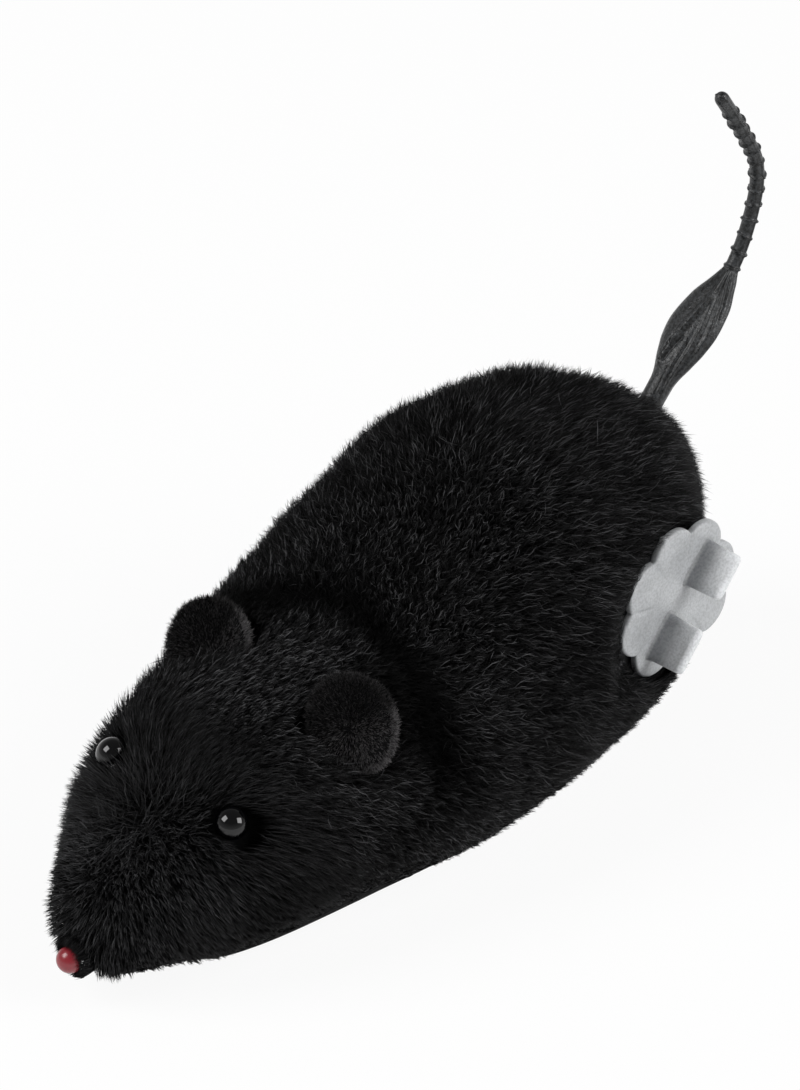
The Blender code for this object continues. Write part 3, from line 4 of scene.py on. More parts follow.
import bmesh
import bpy
import numpy as np
from mathutils import Matrix, Vector


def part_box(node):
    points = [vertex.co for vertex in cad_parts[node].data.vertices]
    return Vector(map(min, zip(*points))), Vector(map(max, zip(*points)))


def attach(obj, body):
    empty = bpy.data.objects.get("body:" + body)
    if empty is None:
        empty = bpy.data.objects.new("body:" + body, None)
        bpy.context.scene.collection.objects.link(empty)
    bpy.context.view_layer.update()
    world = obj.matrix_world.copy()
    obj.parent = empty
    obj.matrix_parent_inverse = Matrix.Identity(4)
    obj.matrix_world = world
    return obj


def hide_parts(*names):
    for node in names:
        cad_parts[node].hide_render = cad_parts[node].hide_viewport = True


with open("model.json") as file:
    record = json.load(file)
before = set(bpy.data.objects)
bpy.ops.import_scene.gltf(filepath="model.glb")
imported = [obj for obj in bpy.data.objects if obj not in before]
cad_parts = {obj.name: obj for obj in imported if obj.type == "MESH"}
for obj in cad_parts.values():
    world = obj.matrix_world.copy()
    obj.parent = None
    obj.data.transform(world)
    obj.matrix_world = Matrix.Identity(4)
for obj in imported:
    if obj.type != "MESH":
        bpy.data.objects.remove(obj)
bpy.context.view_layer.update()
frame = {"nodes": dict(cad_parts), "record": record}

MM = 0.001
NOSE_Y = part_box("nose_bead")[0].y          # where the tip of the nose lies along Y
TWO_PI = 2 * math.pi
LEFT = np.array([1.0, 0.0, 0.0])
BACK = np.array([0.0, 1.0, 0.0])
UP = np.array([0.0, 0.0, 1.0])

# Body form over the tips of the fur, in metres from the tip of the nose
BODY_START = 2.0 * MM
BODY_LENGTH = 125.3 * MM
BODY_WIDTH = 57.6 * MM
BODY_HEIGHT = 52.5 * MM
NOSE_ROUND = 3.0 * MM
RUMP_ROUND = 9.0 * MM
SECTION_POWER = 0.85
PLACES = (0.000, 0.025, 0.060, 0.136, 0.221, 0.320, 0.441, 0.561, 0.681, 0.801, 0.896, 0.960, 1.000)
HALF_WIDTHS = (0.140, 0.270, 0.390, 0.604, 0.736, 0.861, 0.985, 1.000, 0.944, 0.840, 0.535, 0.295, 0.170)
TOPS = (0.215, 0.305, 0.390, 0.524, 0.590, 0.648, 0.743, 0.886, 0.996, 0.962, 0.838, 0.686, 0.571)
MIDDLES = (0.150, 0.178, 0.215, 0.257, 0.295, 0.324, 0.352, 0.381, 0.400, 0.419, 0.429, 0.429, 0.419)
LOWS = (0.085, 0.066, 0.048, -0.020, -0.038, -0.038, -0.038, -0.038, -0.038, -0.038, 0.029, 0.152, 0.286)
NOSE_TIP = 0.146
RUMP_TIP = 0.420
HEM = 3.0 * MM
SOLID = (HALF_WIDTHS, TOPS, MIDDLES, LOWS, SECTION_POWER)

# Form of the pile's tips: a little slimmer low down and at the neck than the solid cover
COAT_HALF_WIDTHS = (0.130, 0.250, 0.362, 0.590, 0.720, 0.825, 0.972, 1.000, 0.955, 0.835, 0.500, 0.255, 0.150)
COAT_TOPS = (0.219, 0.310, 0.393, 0.536, 0.597, 0.645, 0.718, 0.865, 1.000, 0.970, 0.848, 0.678, 0.568)
COAT_MIDDLES = (0.165, 0.200, 0.240, 0.300, 0.340, 0.365, 0.360, 0.395, 0.430, 0.450, 0.440, 0.428, 0.419)
COAT_LOWS = (0.085, 0.092, 0.060, 0.020, 0.020, 0.020, 0.005, 0.000, 0.000, 0.005, 0.060, 0.170, 0.298)
COAT = (COAT_HALF_WIDTHS, COAT_TOPS, COAT_MIDDLES, COAT_LOWS, 0.98)

# Pile
FINE_HAIRS = 160000
GUARD_HAIRS = 48000
COLLAR_HAIRS = 1400
TUFT = 0.95 * MM

# What the fur leaves room for
KNOB_AXIS = np.array([99.31 * MM, 26.49 * MM])
KNOB_STAND = 21.6 * MM
KNOB_RADIUS = 12.0 * MM
POCKET_RADIUS = 13.3 * MM      # of the round pocket in the cover that the knob stands in
POCKET_WALL = 0.6 * MM
POCKET_SINK = 0.5 * MM         # from the knob's inner face down to the pocket's floor


# Shared shapes

def eased(places, values, at):
    """Smooth curve through the values: cubic pieces whose slope at each place is the harmonic mean of the
    slopes on both sides, or zero where they turn."""
    places = np.asarray(places, float)
    values = np.asarray(values, float)
    at = np.asarray(at, float)
    step = np.diff(places)
    rise = np.diff(values) / step
    turns = rise[1:] * rise[:-1] <= 0
    mean = np.where(turns, 0, 2 * rise[1:] * rise[:-1] / np.where(turns, 1, rise[1:] + rise[:-1]))
    slope = np.concatenate([rise[:1], mean, rise[-1:]])
    i = np.clip(np.searchsorted(places, at) - 1, 0, len(step) - 1)
    t = (at - places[i]) / step[i]
    bend = t * t * (3 - 2 * t)
    start = t * (1 - t) ** 2
    end = t * t * (t - 1)
    return values[i] * (1 - bend) + values[i + 1] * bend + step[i] * (slope[i] * start + slope[i + 1] * end)


def smooth(low, high, value):
    """Rises from 0 at low to 1 at high without a corner."""
    t = np.clip((value - low) / (high - low), 0, 1)
    return t * t * (3 - 2 * t)


def hump(value, middle, width):
    """Gaussian hump of height 1."""
    return np.exp(-((value - middle) / width) ** 2)


def signed_power(value, power):
    """Power of a value's size, with the value's own sign."""
    return np.sign(value) * np.abs(value) ** power


def section(share, form):
    """Half width, top, widest height, low point, fullness and tip height of a form at shares of the length.

    Near the nose and the rump the fullness is the square root of one minus the square of the share left.
    """
    from_nose = np.clip(share * BODY_LENGTH / NOSE_ROUND, 0, 1)
    from_rump = np.clip((1 - share) * BODY_LENGTH / RUMP_ROUND, 0, 1)
    full = np.sqrt(1 - (1 - from_nose) ** 2) * np.sqrt(1 - (1 - from_rump) ** 2)
    tip = BODY_HEIGHT * np.where(share < 0.5, NOSE_TIP, RUMP_TIP)
    half = BODY_WIDTH / 2 * eased(PLACES, form[0], share)
    top, middle, low = (BODY_HEIGHT * eased(PLACES, row, share) for row in form[1:4])
    return half, top, middle, low, full, tip


def body_point(share, angle, depth=0.0, form=SOLID):
    """Points on the body form, drawn in by depth from the tips of the fur.

    At each share of the length the section is a superellipse: half width times cos^e of the angle across,
    and from the widest height up to the top, or down to the low point, times sin^e, where e may differ above
    and below. Near the nose and the rump it shrinks towards a tip.
    """
    half, top, middle, low, full, tip = section(share, form)
    side = np.cos(angle)
    rise = np.sin(angle)
    power = np.where(rise > 0, SECTION_POWER, form[4])
    x = half * full * signed_power(side, power)
    reach = np.where(rise > 0, top - middle, middle - low)
    z = middle + reach * signed_power(rise, power)
    z = tip + (z - tip) * full
    y = BODY_LENGTH * (share - 0.5) * (1 - depth / (BODY_LENGTH / 2)) + BODY_START + BODY_LENGTH / 2
    x = x * (1 - depth / (BODY_WIDTH / 2))
    z = z * (1 - depth / BODY_HEIGHT)
    return np.stack(np.broadcast_arrays(x, y + NOSE_Y, z), axis=-1)


def unit(v):
    """Vectors at length 1."""
    return v / np.maximum(np.linalg.norm(v, axis=-1, keepdims=True), 1e-12)


def body_normal(share, angle, form=SOLID):
    """Directions that point out of the body form: the cross product of its slopes along and around."""
    step = 0.003
    share = np.clip(share, step, 1 - step)
    along = body_point(share + step, angle, 0.0, form) - body_point(share - step, angle, 0.0, form)
    around = body_point(share, angle + step, 0.0, form) - body_point(share, angle - step, 0.0, form)
    return unit(np.cross(along, around))


def pressed(points, proud):
    """Draws points that stand further out of the coat's form than proud back, towards their section's middle.

    The form lies at 1 in the superellipse's own measure, so a point's distance from the middle over its
    measure is the form's distance that way. Near the tips of the nose and the rump it may stand 4 mm further.
    """
    share = np.clip((points[:, 1] - NOSE_Y - BODY_START) / BODY_LENGTH, 0.01, 0.98)
    proud = proud + 4 * MM * (smooth(0.92, 0.97, share) + smooth(0.04, 0.01, share))
    half, top, middle, low, full, tip = section(share, COAT)
    centre = tip + (middle - tip) * full
    side = np.abs(points[:, 0]) / (half * full)
    rise = points[:, 2] - centre
    high = np.abs(rise) / (np.where(rise > 0, top - middle, middle - low) * full)
    power = np.where(rise > 0, SECTION_POWER, COAT[4])
    measure = np.maximum((side ** (2 / power) + high ** (2 / power)) ** (power / 2), 1e-6)
    away = np.hypot(points[:, 0], rise)
    factor = np.minimum(1.0, (away / measure + proud) / np.maximum(away, 1e-9))
    return np.stack([points[:, 0] * factor, points[:, 1], centre + rise * factor], axis=-1)


def tube_faces(rows, columns):
    """Quads of a grid whose points are numbered row by row, and whose rows are closed rings."""
    i = np.arange(rows - 1)[:, None]
    j = np.arange(columns)[None, :]
    next_j = (j + 1) % columns
    low = i * columns
    high = low + columns
    return np.stack([low + j, low + next_j, high + next_j, high + j], axis=-1).reshape(-1, 4)


def capped_faces(grid):
    """Quads of a tube's grid of points, and a face over its first and its last ring."""
    rows, columns = grid.shape[:2]
    faces = tube_faces(rows, columns).tolist()
    return faces + [range(columns), range((rows - 1) * columns, rows * columns)]


def new_object(name, data):
    """Object in the scene that holds a mesh, a camera or a lamp."""
    made = bpy.data.objects.new(name, data)
    bpy.context.scene.collection.objects.link(made)
    return made


def make_piece(name, points, faces, outward=True):
    """A mesh object at the origin from arrays of points and faces, merged and facing outwards."""
    mesh = bpy.data.meshes.new(name)
    corners = np.asarray(points, float).reshape(-1, 3).tolist()
    mesh.from_pydata(corners, [], [[int(i) for i in face] for face in faces])
    mesh.validate()
    if outward:
        bm = bmesh.new()
        bm.from_mesh(mesh)
        bmesh.ops.remove_doubles(bm, verts=bm.verts, dist=0.002 * MM)
        bmesh.ops.recalc_face_normals(bm, faces=bm.faces)
        bm.to_mesh(mesh)
        bm.free()
    mesh.shade_smooth()
    return new_object(name, mesh)


def revolve(profile, sides, origin, axis):
    """Points of a profile of (place along the axis, radius), turned in even steps round the axis."""
    axis = unit(axis)
    across = unit(np.cross(UP, axis))
    over = np.cross(axis, across)
    turn = TWO_PI * np.arange(sides) / sides
    ring = np.cos(turn)[:, None] * across + np.sin(turn)[:, None] * over
    points = profile[:, None, :1] * axis + profile[:, None, 1:] * ring[None, :, :]
    return points + origin, tube_faces(len(profile), sides)


# Materials

def linear(hexed):
    """Linear colour of an sRGB colour written as six hex digits."""
    c = np.array([int(hexed[i:i + 2], 16) for i in (0, 2, 4)]) / 255
    c = np.where(c <= 0.04045, c / 12.92, ((c + 0.055) / 1.055) ** 2.4)
    return (*[float(v) for v in c], 1.0)


def add(owner, kind, settings=None, **links):
    """Adds a node to a material or the world. A link is input=(node, output), and i0 is the first input."""
    tree = owner.node_tree
    node = tree.nodes.new("ShaderNode" + kind)
    for key, value in (settings or {}).items():
        if isinstance(key, int) or key in node.inputs:
            node.inputs[key].default_value = value
        else:
            setattr(node, key, value)
    for key, (source, output) in links.items():
        target = int(key[1:]) if key[1:].isdigit() else key.replace("_", " ")
        tree.links.new(source.outputs[output], node.inputs[target])
    return node


def new_material(name, colour, roughness, metallic=0.0, **sockets):
    """Principled material with plain values on its sockets."""
    made = bpy.data.materials.new(name)
    made.use_nodes = True
    shader = made.node_tree.nodes["Principled BSDF"]
    shader.inputs["Base Color"].default_value = linear(colour)
    shader.inputs["Roughness"].default_value = roughness
    shader.inputs["Metallic"].default_value = metallic
    for key, value in sockets.items():
        shader.inputs[key.replace("_", " ")].default_value = value
    made.diffuse_color = linear(colour)
    return made


def feed(material, source, output, socket="Base Color"):
    """Links a node's output to a socket of the material's shader."""
    shader = material.node_tree.nodes["Principled BSDF"]
    material.node_tree.links.new(source.outputs[output], shader.inputs[socket])


def add_noise(material, size, detail):
    """Noise over the piece's own coordinates, with grains of the given size."""
    place = add(material, "TexCoord")
    return add(material, "TexNoise", {"Scale": 1 / size, "Detail": detail}, Vector=(place, "Object"))


def rescale(owner, source, output, start, end, low, high):
    """A node's output, stretched so that start becomes low and end becomes high."""
    values = {"From Min": start, "From Max": end, "To Min": low, "To Max": high}
    return add(owner, "MapRange", values, Value=(source, output))


def ramp(material, low, high, at=(0.0, 1.0), **links):
    """Colour ramp between two sRGB hex colours."""
    node = add(material, "ValToRGB", **links)
    for stop, place, colour in zip(node.color_ramp.elements, at, (low, high)):
        stop.position = place
        stop.color = linear(colour)
    return node


def fur_material(name, root, tip):
    """Black acrylic pile: each hair has its own shade and is painted darker at the root for the shade deep in
    the pile, with a dull sheen.
    """
    made = new_material(name, root, 0.5, Specular_IOR_Level=0.06)
    shade = add(made, "Attribute", {"attribute_name": "shade"})
    feed(made, ramp(made, root, tip, Fac=(shade, "Fac")), "Color")
    return made


def backing_material():
    """Knitted backing of the plush, seen only as darkness between the hairs."""
    made = new_material("knitted_backing", "060607", 0.95, Specular_IOR_Level=0.1)
    place = add(made, "TexCoord")
    knit = add(made, "TexVoronoi", {"Scale": 1 / (1.1 * MM)}, Vector=(place, "Object"))
    feed(made, ramp(made, "030304", "0A0A0B", Fac=(knit, "Distance")), "Color")
    bump = add(made, "Bump", {"Strength": 0.6, "Distance": 0.2 * MM}, Height=(knit, "Distance"))
    feed(made, bump, "Normal", "Normal")
    return made


def plain(name, colour, roughness, metallic=0.0, grain=0.4, depth=0.02, spread=0.12, **sockets):
    """Moulded or drawn finish: a fine grain of the given size in millimetres in its gloss and bump."""
    made = new_material(name, colour, roughness, metallic, **sockets)
    noise = add_noise(made, grain * MM, 3.0)
    rough = rescale(made, noise, "Fac", 0.3, 0.7, roughness * (1 - spread), roughness * (1 + spread))
    feed(made, rough, "Result", "Roughness")
    bump = add(made, "Bump", {"Strength": 0.5, "Distance": depth * MM}, Height=(noise, "Fac"))
    feed(made, bump, "Normal", "Normal")
    return made


def milky_material():
    """Milky polypropylene: light enters it and spreads a millimetre or so, over a fine moulded grain.

    The grips are painted duller at their foot, a painted shadow of the body, and paler towards their end, a
    painted highlight, along the knob's axis.
    """
    made = plain(
        "milky_polypropylene", "BEC0C2", 0.36, grain=0.30, depth=0.05, spread=0.25, Subsurface_Weight=0.40
    )
    shader = made.node_tree.nodes["Principled BSDF"]
    shader.inputs["Subsurface Radius"].default_value = (1.0, 1.0, 1.0)
    shader.inputs["Subsurface Scale"].default_value = 0.8 * MM
    place = add(made, "TexCoord")
    split = add(made, "SeparateXYZ", Vector=(place, "Object"))
    # painted shadow of the body on the grips' foot and painted light on their end, along the knob's axis
    rise = rescale(made, split, "X", KNOB_STAND + 1.35 * MM, KNOB_STAND + 7.0 * MM, 0.0, 1.0)
    painted_grip_light_and_shade = ramp(made, "C3C5C7", "EEF0F2", Fac=(rise, "Result"))
    for at, colour in ((0.06, "9FA1A4"), (0.30, "A6A8AB"), (0.66, "E6E8EA")):
        painted_grip_light_and_shade.color_ramp.elements.new(at).color = linear(colour)
    cloud = add_noise(made, 4.0 * MM, 4.0)
    grain = add_noise(made, 0.35 * MM, 2.0)
    shades = [
        ramp(made, "EEEEEE", "FFFFFF", at=(0.35, 0.65), Fac=(cloud, "Fac")),
        ramp(made, "E6E6E6", "FFFFFF", at=(0.35, 0.60), Fac=(grain, "Fac")),
    ]
    tone = (painted_grip_light_and_shade, "Color")
    multiply = {"data_type": "RGBA", "blend_type": "MULTIPLY", 0: 1.0}
    for shade in shades:
        tone = (add(made, "Mix", multiply, i6=tone, i7=(shade, "Color")), 2)
    feed(made, *tone)
    return made


def rubber_material():
    """Black moulded rubber with a speckle in its tone, drawn as coarse as it needs to show."""
    made = plain("black_pvc_rubber", "1E1F21", 0.42, grain=0.30, depth=0.16, spread=0.4)
    grain = add_noise(made, 0.45 * MM, 2.0)
    feed(made, ramp(made, "060707", "303234", at=(0.42, 0.60), Fac=(grain, "Fac")), "Color")
    return made


def finish(piece, material, body, replaced):
    """Gives a new piece its material, the body that it moves with and the node that it stands for."""
    piece.data.materials.clear()
    piece.data.materials.append(material)
    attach(piece, body)
    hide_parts(replaced)


# Fur

SKIN_DEPTH = 4.3 * MM          # from the fur's tips to its backing
BACKING_DEPTH = 5.0 * MM       # to the backing's inner side
EYE_SHARE = 0.154
EYE_ANGLE = math.radians(54)
EYE_RADIUS = 2.3 * MM
EYE_SINK = 1.0 * MM
EAR_RADIUS = 7.3 * MM
EAR_WIDTH = 0.94
NOSE_HEIGHT = 7.5 * MM
NOSE_RADIUS = 1.9 * MM
# Each ear: side, share of the length, angle, stand over the fur, upward and outward directions
EARS = {
    "ear_left": (1, 0.313, math.radians(57.5), 1.8 * MM, (0.25, 0.30, 0.92), (0.33, -0.88, 0.25)),
    "ear_right": (-1, 0.320, math.radians(58.0), -2.0 * MM, (0.25, 0.45, 0.86), (-0.20, -0.78, 0.59)),
}


def hem_angle(share, depth):
    """Angle under the horizontal at which the form, at a share of its length, meets the hem."""
    angle = np.linspace(-math.pi / 2, 0, 200)
    z = body_point(share[:, None], angle[None, :], depth[:, None])[..., 2]
    above = z > HEM
    first = np.argmax(above, axis=1)
    return np.where(above[:, 0], -math.pi / 2, angle[first])


def knob_centre():
    """Place of the winding knob's axis along Y and Z."""
    return np.array([KNOB_AXIS[0] + NOSE_Y, KNOB_AXIS[1]])


def knob_offset(points):
    """Offsets of points from the winding knob's axis along Y and Z, and their distance from it."""
    offset = points[..., 1:] - knob_centre()
    return offset, np.linalg.norm(offset, axis=-1)


def pocketed(points):
    """Presses points that lie in the knob's pocket in to its floor, with a soft edge round it."""
    away = knob_offset(points)[1]
    inside = np.clip((POCKET_RADIUS - away) / POCKET_WALL, 0, 1)
    floor = KNOB_STAND - POCKET_SINK
    x = points[..., 0]
    points[..., 0] = np.where(x > floor, x + (floor - x) * inside, x)
    return points


def skin_depth(share):
    """Depth of the backing under the tips: the pile gets short towards the nose."""
    return SKIN_DEPTH * (0.50 + 0.50 * smooth(0.0, 0.11, share))


def make_backing(material):
    """Backing of the plush: at each share of the length a closed loop that runs over the body on the outer
    side and back on the inner side, from hem to hem."""
    share = (1 - np.cos(math.pi * np.linspace(0.02, 0.98, 150))) / 2
    half = 110
    loops = []
    for extra, turn in ((0.0, 1), (BACKING_DEPTH - SKIN_DEPTH, -1)):
        depth = skin_depth(share) + extra
        low = hem_angle(share, depth)
        t = np.linspace(0, 1, half)[::turn]
        angle = low[:, None] + (math.pi - 2 * low)[:, None] * t[None, :]
        loops.append(pocketed(body_point(share[:, None], angle, depth[:, None])))
    points = np.concatenate(loops, axis=1)
    piece = make_piece("fur_backing", points, capped_faces(points))
    finish(piece, material, "body", "fur_cover")


def hashed(cell, seed):
    """Even random numbers from whole-number cells: the fraction of a large sine of their weighted sum."""
    value = np.sin(cell @ np.array([127.1, 311.7, 74.7]) + seed * 53.31) * 43758.5453
    return value - np.floor(value)


def tuft_of(points, size):
    """Nearest tuft centre to each point: one jittered centre in each cell of a cubic grid.

    Gives the centres and three random numbers of each tuft.
    """
    base = np.floor(points / size)
    best = np.full(len(points), np.inf)
    centre = np.zeros_like(points)
    chosen = np.zeros_like(points)
    for offset in np.array(np.meshgrid([-1, 0, 1], [-1, 0, 1], [-1, 0, 1])).reshape(3, -1).T:
        cell = base + offset
        jitter = np.stack([hashed(cell, s) for s in (1, 2, 3)], axis=-1)
        spot = (cell + jitter) * size
        away = np.sum((spot - points) ** 2, axis=-1)
        nearer = away < best
        best = np.where(nearer, away, best)
        centre[nearer] = spot[nearer]
        chosen[nearer] = cell[nearer]
    traits = np.stack([hashed(chosen, s) for s in (4, 5, 6)], axis=-1)
    return centre, traits


def waves(points, size, seed):
    """Smooth wandering value, mostly from -1 to 1: the sum of five sines in different directions."""
    rng = np.random.default_rng(seed)
    ways = unit(rng.normal(size=(5, 3))) * rng.uniform(0.7, 1.4, (5, 1)) * TWO_PI / size
    starts = rng.uniform(0, TWO_PI, 5)
    return np.sin(points @ ways.T + starts).mean(axis=1) * 1.6


def scattered(count, rng):
    """Random places on the body form above its hem, even over its area."""
    rows, columns = 240, 160
    s = np.linspace(0.0, 1.0, rows + 1)
    a = np.linspace(-math.pi / 2, 1.5 * math.pi, columns + 1)
    corner = body_point(s[:, None], a[None, :], skin_depth(s)[:, None])
    u = corner[1:, :-1] - corner[:-1, :-1]
    v = corner[:-1, 1:] - corner[:-1, :-1]
    area = np.linalg.norm(np.cross(u, v), axis=-1).ravel()
    middle = (corner[1:, 1:] + corner[:-1, :-1])[..., 2].ravel() / 2
    area = np.where(middle > HEM + 0.2 * MM, area, 0)
    cell = rng.choice(len(area), size=count, p=area / area.sum())
    i, j = np.divmod(cell, columns)
    share = (i + rng.random(count)) / rows
    angle = a[0] + (j + rng.random(count)) * TWO_PI / columns
    return share, angle


def ear_axes(name):
    """Centre of an ear and its directions across, up and out of its hollow."""
    side, share, angle, stand, upward, outward = EARS[name]
    mirror = np.array([side, 1, 1])
    centre = body_point(share, angle) + body_normal(share, angle) * stand
    out = unit(np.array(outward) * mirror)
    up = np.array(upward) * mirror
    up = unit(up - out * (up @ out))
    return centre * mirror, np.cross(up, out), up, out


def eye_axes(side):
    """Back of an eye and its outward direction."""
    mirror = np.array([side, 1, 1])
    normal = body_normal(EYE_SHARE, EYE_ANGLE) * mirror
    return body_point(EYE_SHARE, EYE_ANGLE) * mirror - normal * EYE_SINK, normal


def neck_valley(share, angle):
    """How deep a hair stands in the valley behind the ears, from 0 to 1: it shortens the pile there and
    darkens it as painted shade.

    The valley runs over the neck from flank to flank: its place moves from 0.368 of the length low on the
    flank to 0.432 on the ridge with the square of the angle, and it fades out low on the flank.
    """
    rise = np.degrees(np.arcsin(np.clip(np.abs(np.sin(angle)), 0, 1)))
    rise = np.where(np.sin(angle) > 0, rise, -rise)
    middle = 0.368 + 0.064 * (np.clip(rise, 0, 90) / 90) ** 2
    return hump(share, middle, 0.032) * smooth(2, 30, rise)


def kept_low(points):
    """Lowers points of hairs beside the winding knob, so that its rim shows.

    Over the disc's face a point may rise by 0.55 of its distance from the disc's edge. Below the knob it may
    stand 2.2 mm higher, so that tips hang over the lowest lobes.
    """
    from_knob, away = knob_offset(points)
    ceiling = KNOB_STAND + DISC + 0.15 * MM + 0.55 * np.maximum(away - KNOB_RADIUS, 0)
    ceiling = ceiling + 2.2 * MM * smooth(-4 * MM, -9 * MM, from_knob[:, 1])
    near = smooth(20 * MM, 17 * MM, away)
    over = np.maximum(points[:, 0] - ceiling, 0) * near
    return points - over[:, None] * LEFT


def face_of(share):
    """1 on the face, where the pile is sleek, and 0 behind the forehead."""
    return 1 - smooth(0.17, 0.28, share)


def along_skin(vectors, normal):
    """What is left of vectors when their share along the normal is taken away."""
    return vectors - normal * np.sum(vectors * normal, axis=-1, keepdims=True)


def comb(points, share, normal, rng):
    """Direction in which each hair leans, along the skin.

    The body's pile lies back and a little down, with slow swirls. On the head it lies more downwards, on the
    forehead it is brushed over to the left, and below the knob it leans in towards the axis. Each hair strays
    from its neighbours.
    """
    count = len(points)
    head = 1 - smooth(0.20, 0.36, share)
    crown = smooth(0.35, 0.70, normal[:, 2]) * smooth(0.14, 0.24, share) * (1 - smooth(0.36, 0.42, share))
    side = np.tanh(points[:, 0] / (9 * MM))
    sink = (0.50 + 0.55 * head) * (1 - crown) + 0.35 * waves(points, 30 * MM, 12)
    drift = 0.30 * side + 0.55 * waves(points, 24 * MM, 11) * (1 - 0.4 * head)
    way = BACK * (1 - 0.55 * crown)[:, None] - UP * sink[:, None]
    way = way + LEFT * (drift * (1 - crown) + 1.1 * crown)[:, None]
    way = way + rng.normal(size=(count, 3)) * (0.42 - 0.26 * face_of(share))[:, None]
    from_knob, away = knob_offset(points)
    rim = smooth(16 * MM, 13 * MM, away) * smooth(12 * MM, 18 * MM, points[:, 0])
    rim = rim * smooth(4 * MM, -4 * MM, from_knob[:, 1])
    inward = np.concatenate([np.zeros((count, 1)), -unit(from_knob)], axis=1)
    way = way * (1 - 0.75 * rim)[:, None] + inward * (1.3 * rim)[:, None]
    return unit(along_skin(way, normal))


def ear_shade(points):
    """How far a hair stands in the shade behind or under an ear, from 0 to 1."""
    dark = np.zeros(len(points))
    for name in EARS:
        centre, _, up, out = ear_axes(name)
        behind = centre - out * 3.5 * MM - up * 2.0 * MM
        away = np.linalg.norm(points - behind, axis=-1)
        dark = np.maximum(dark, smooth(12 * MM, 5 * MM, away))
    return dark


def hair_lines(count, rng, guard):
    """Roots, bends and tips of the coat's hairs, with their thickness and shade.

    A hair stands on the skin, rises along the coat's outward direction and leans along the comb, and its
    tip is drawn towards the middle of its tuft, where tips stand higher: a tuft is a cone. Fine hairs are
    dark and bend once. Guard hairs are paler, a painted sheen for the glints along the fibres, and bend to
    one side and back. Each hair's shade also holds painted light and shade: a painted highlight on the
    crown, painted shade on the head's lower sides and in the neck valley, and a painted shadow behind and
    under the ears.
    """
    share, angle = scattered(count, rng)
    root = body_point(share, angle, skin_depth(share))
    normal = body_normal(share, angle, COAT)
    outer = body_point(share, angle, 0.0, COAT)
    pile = np.maximum(np.sum((outer - root) * normal, axis=-1), 1.0 * MM)
    valley = neck_valley(share, angle)
    tip_reach = rng.uniform(0.72, 0.97, count) + 0.07 * waves(root, 9 * MM, 17) - 0.40 * valley
    way = comb(root, share, normal, rng)
    lean = np.clip(1.0 + 0.35 * waves(root, 15 * MM, 13), 0.45, 1.7) * rng.uniform(0.7, 1.15, count)
    lean = lean * np.maximum(pile, 2.0 * MM)
    tip = root + normal * (pile * tip_reach)[:, None] + way * lean[:, None]
    face = face_of(share)
    centre, traits = tuft_of(tip, TUFT)
    pull = along_skin(centre - tip, normal)
    cone = np.clip(1 - np.linalg.norm(pull, axis=-1) / (0.75 * TUFT), 0, 1)
    tip += pull * rng.uniform(0.0, 0.85, count)[:, None]
    sway = along_skin((traits - 0.5) * 2, normal)
    stand = (traits[:, 0] - 0.6) * 0.8 * MM + cone * 0.75 * MM
    tip += sway * (0.5 - 0.3 * face)[:, None] * MM + normal * stand[:, None]
    tip = pressed(tip, ((traits[:, 0] - 0.55) * 1.1 + cone * 0.55 + 0.25 * rng.random(count)) * MM)
    chin = 2.2 * MM * (1 - smooth(0.05, 0.12, share))
    tip[:, 2] = np.maximum(tip[:, 2], HEM + chin + (rng.random(count) - 0.7) * MM)
    tip = kept_low(tip)
    crown = smooth(0.45, 0.9, normal[:, 2]) * smooth(0.20, 0.26, share) * (1 - smooth(0.34, 0.38, share))
    cheek = (1 - smooth(0.22, 0.34, share)) * (1 - smooth(0.1, 0.5, normal[:, 2]))
    if guard:
        swing = rng.uniform(-0.45, 0.45, count) * (1 - 0.6 * face) * MM
        aside = np.cross(unit(tip - root), normal) * swing[:, None]
        bends = [
            root * 0.60 + tip * 0.40 + normal * (0.17 * pile)[:, None] + aside,
            root * 0.27 + tip * 0.73 + normal * (0.13 * pile)[:, None] - aside,
        ]
        thick = rng.uniform(0.035, 0.068, count) * (1 - 0.25 * face) * MM
        # paler guard hairs: a painted sheen for the glints along the fibres
        light = 0.10 + 0.90 * rng.random(count) ** 2.2
        light = light * (1 - 0.60 * face) + 0.10 * face
    else:
        bends = [root * 0.48 + tip * 0.52 + normal * (0.17 * pile)[:, None]]
        thick = rng.uniform(0.040, 0.070, count) * MM
        light = 0.20 * rng.beta(0.8, 2.8, count) * (1 + face)
    bends = [kept_low(bend) for bend in bends]
    rear = smooth(0.40, 0.55, share)
    muzzle = 1 - smooth(0.07, 0.15, share)
    # painted light and shade: a painted highlight on the crown, painted shade on the head's lower sides
    light = light * (1 + 0.30 * waves(root, 13 * MM, 19)) * (1 + 0.9 * crown) * (1 - 0.30 * cheek)
    light = light * (1 - 0.20 * rear) * (1 + 0.75 * muzzle)
    # painted shade in the neck valley and painted shadow behind and under the ears
    shade = np.clip(light * (1 - valley) * (1 - 0.85 * ear_shade(outer)), 0, 1)
    return share, root, bends, tip, thick, shade, normal


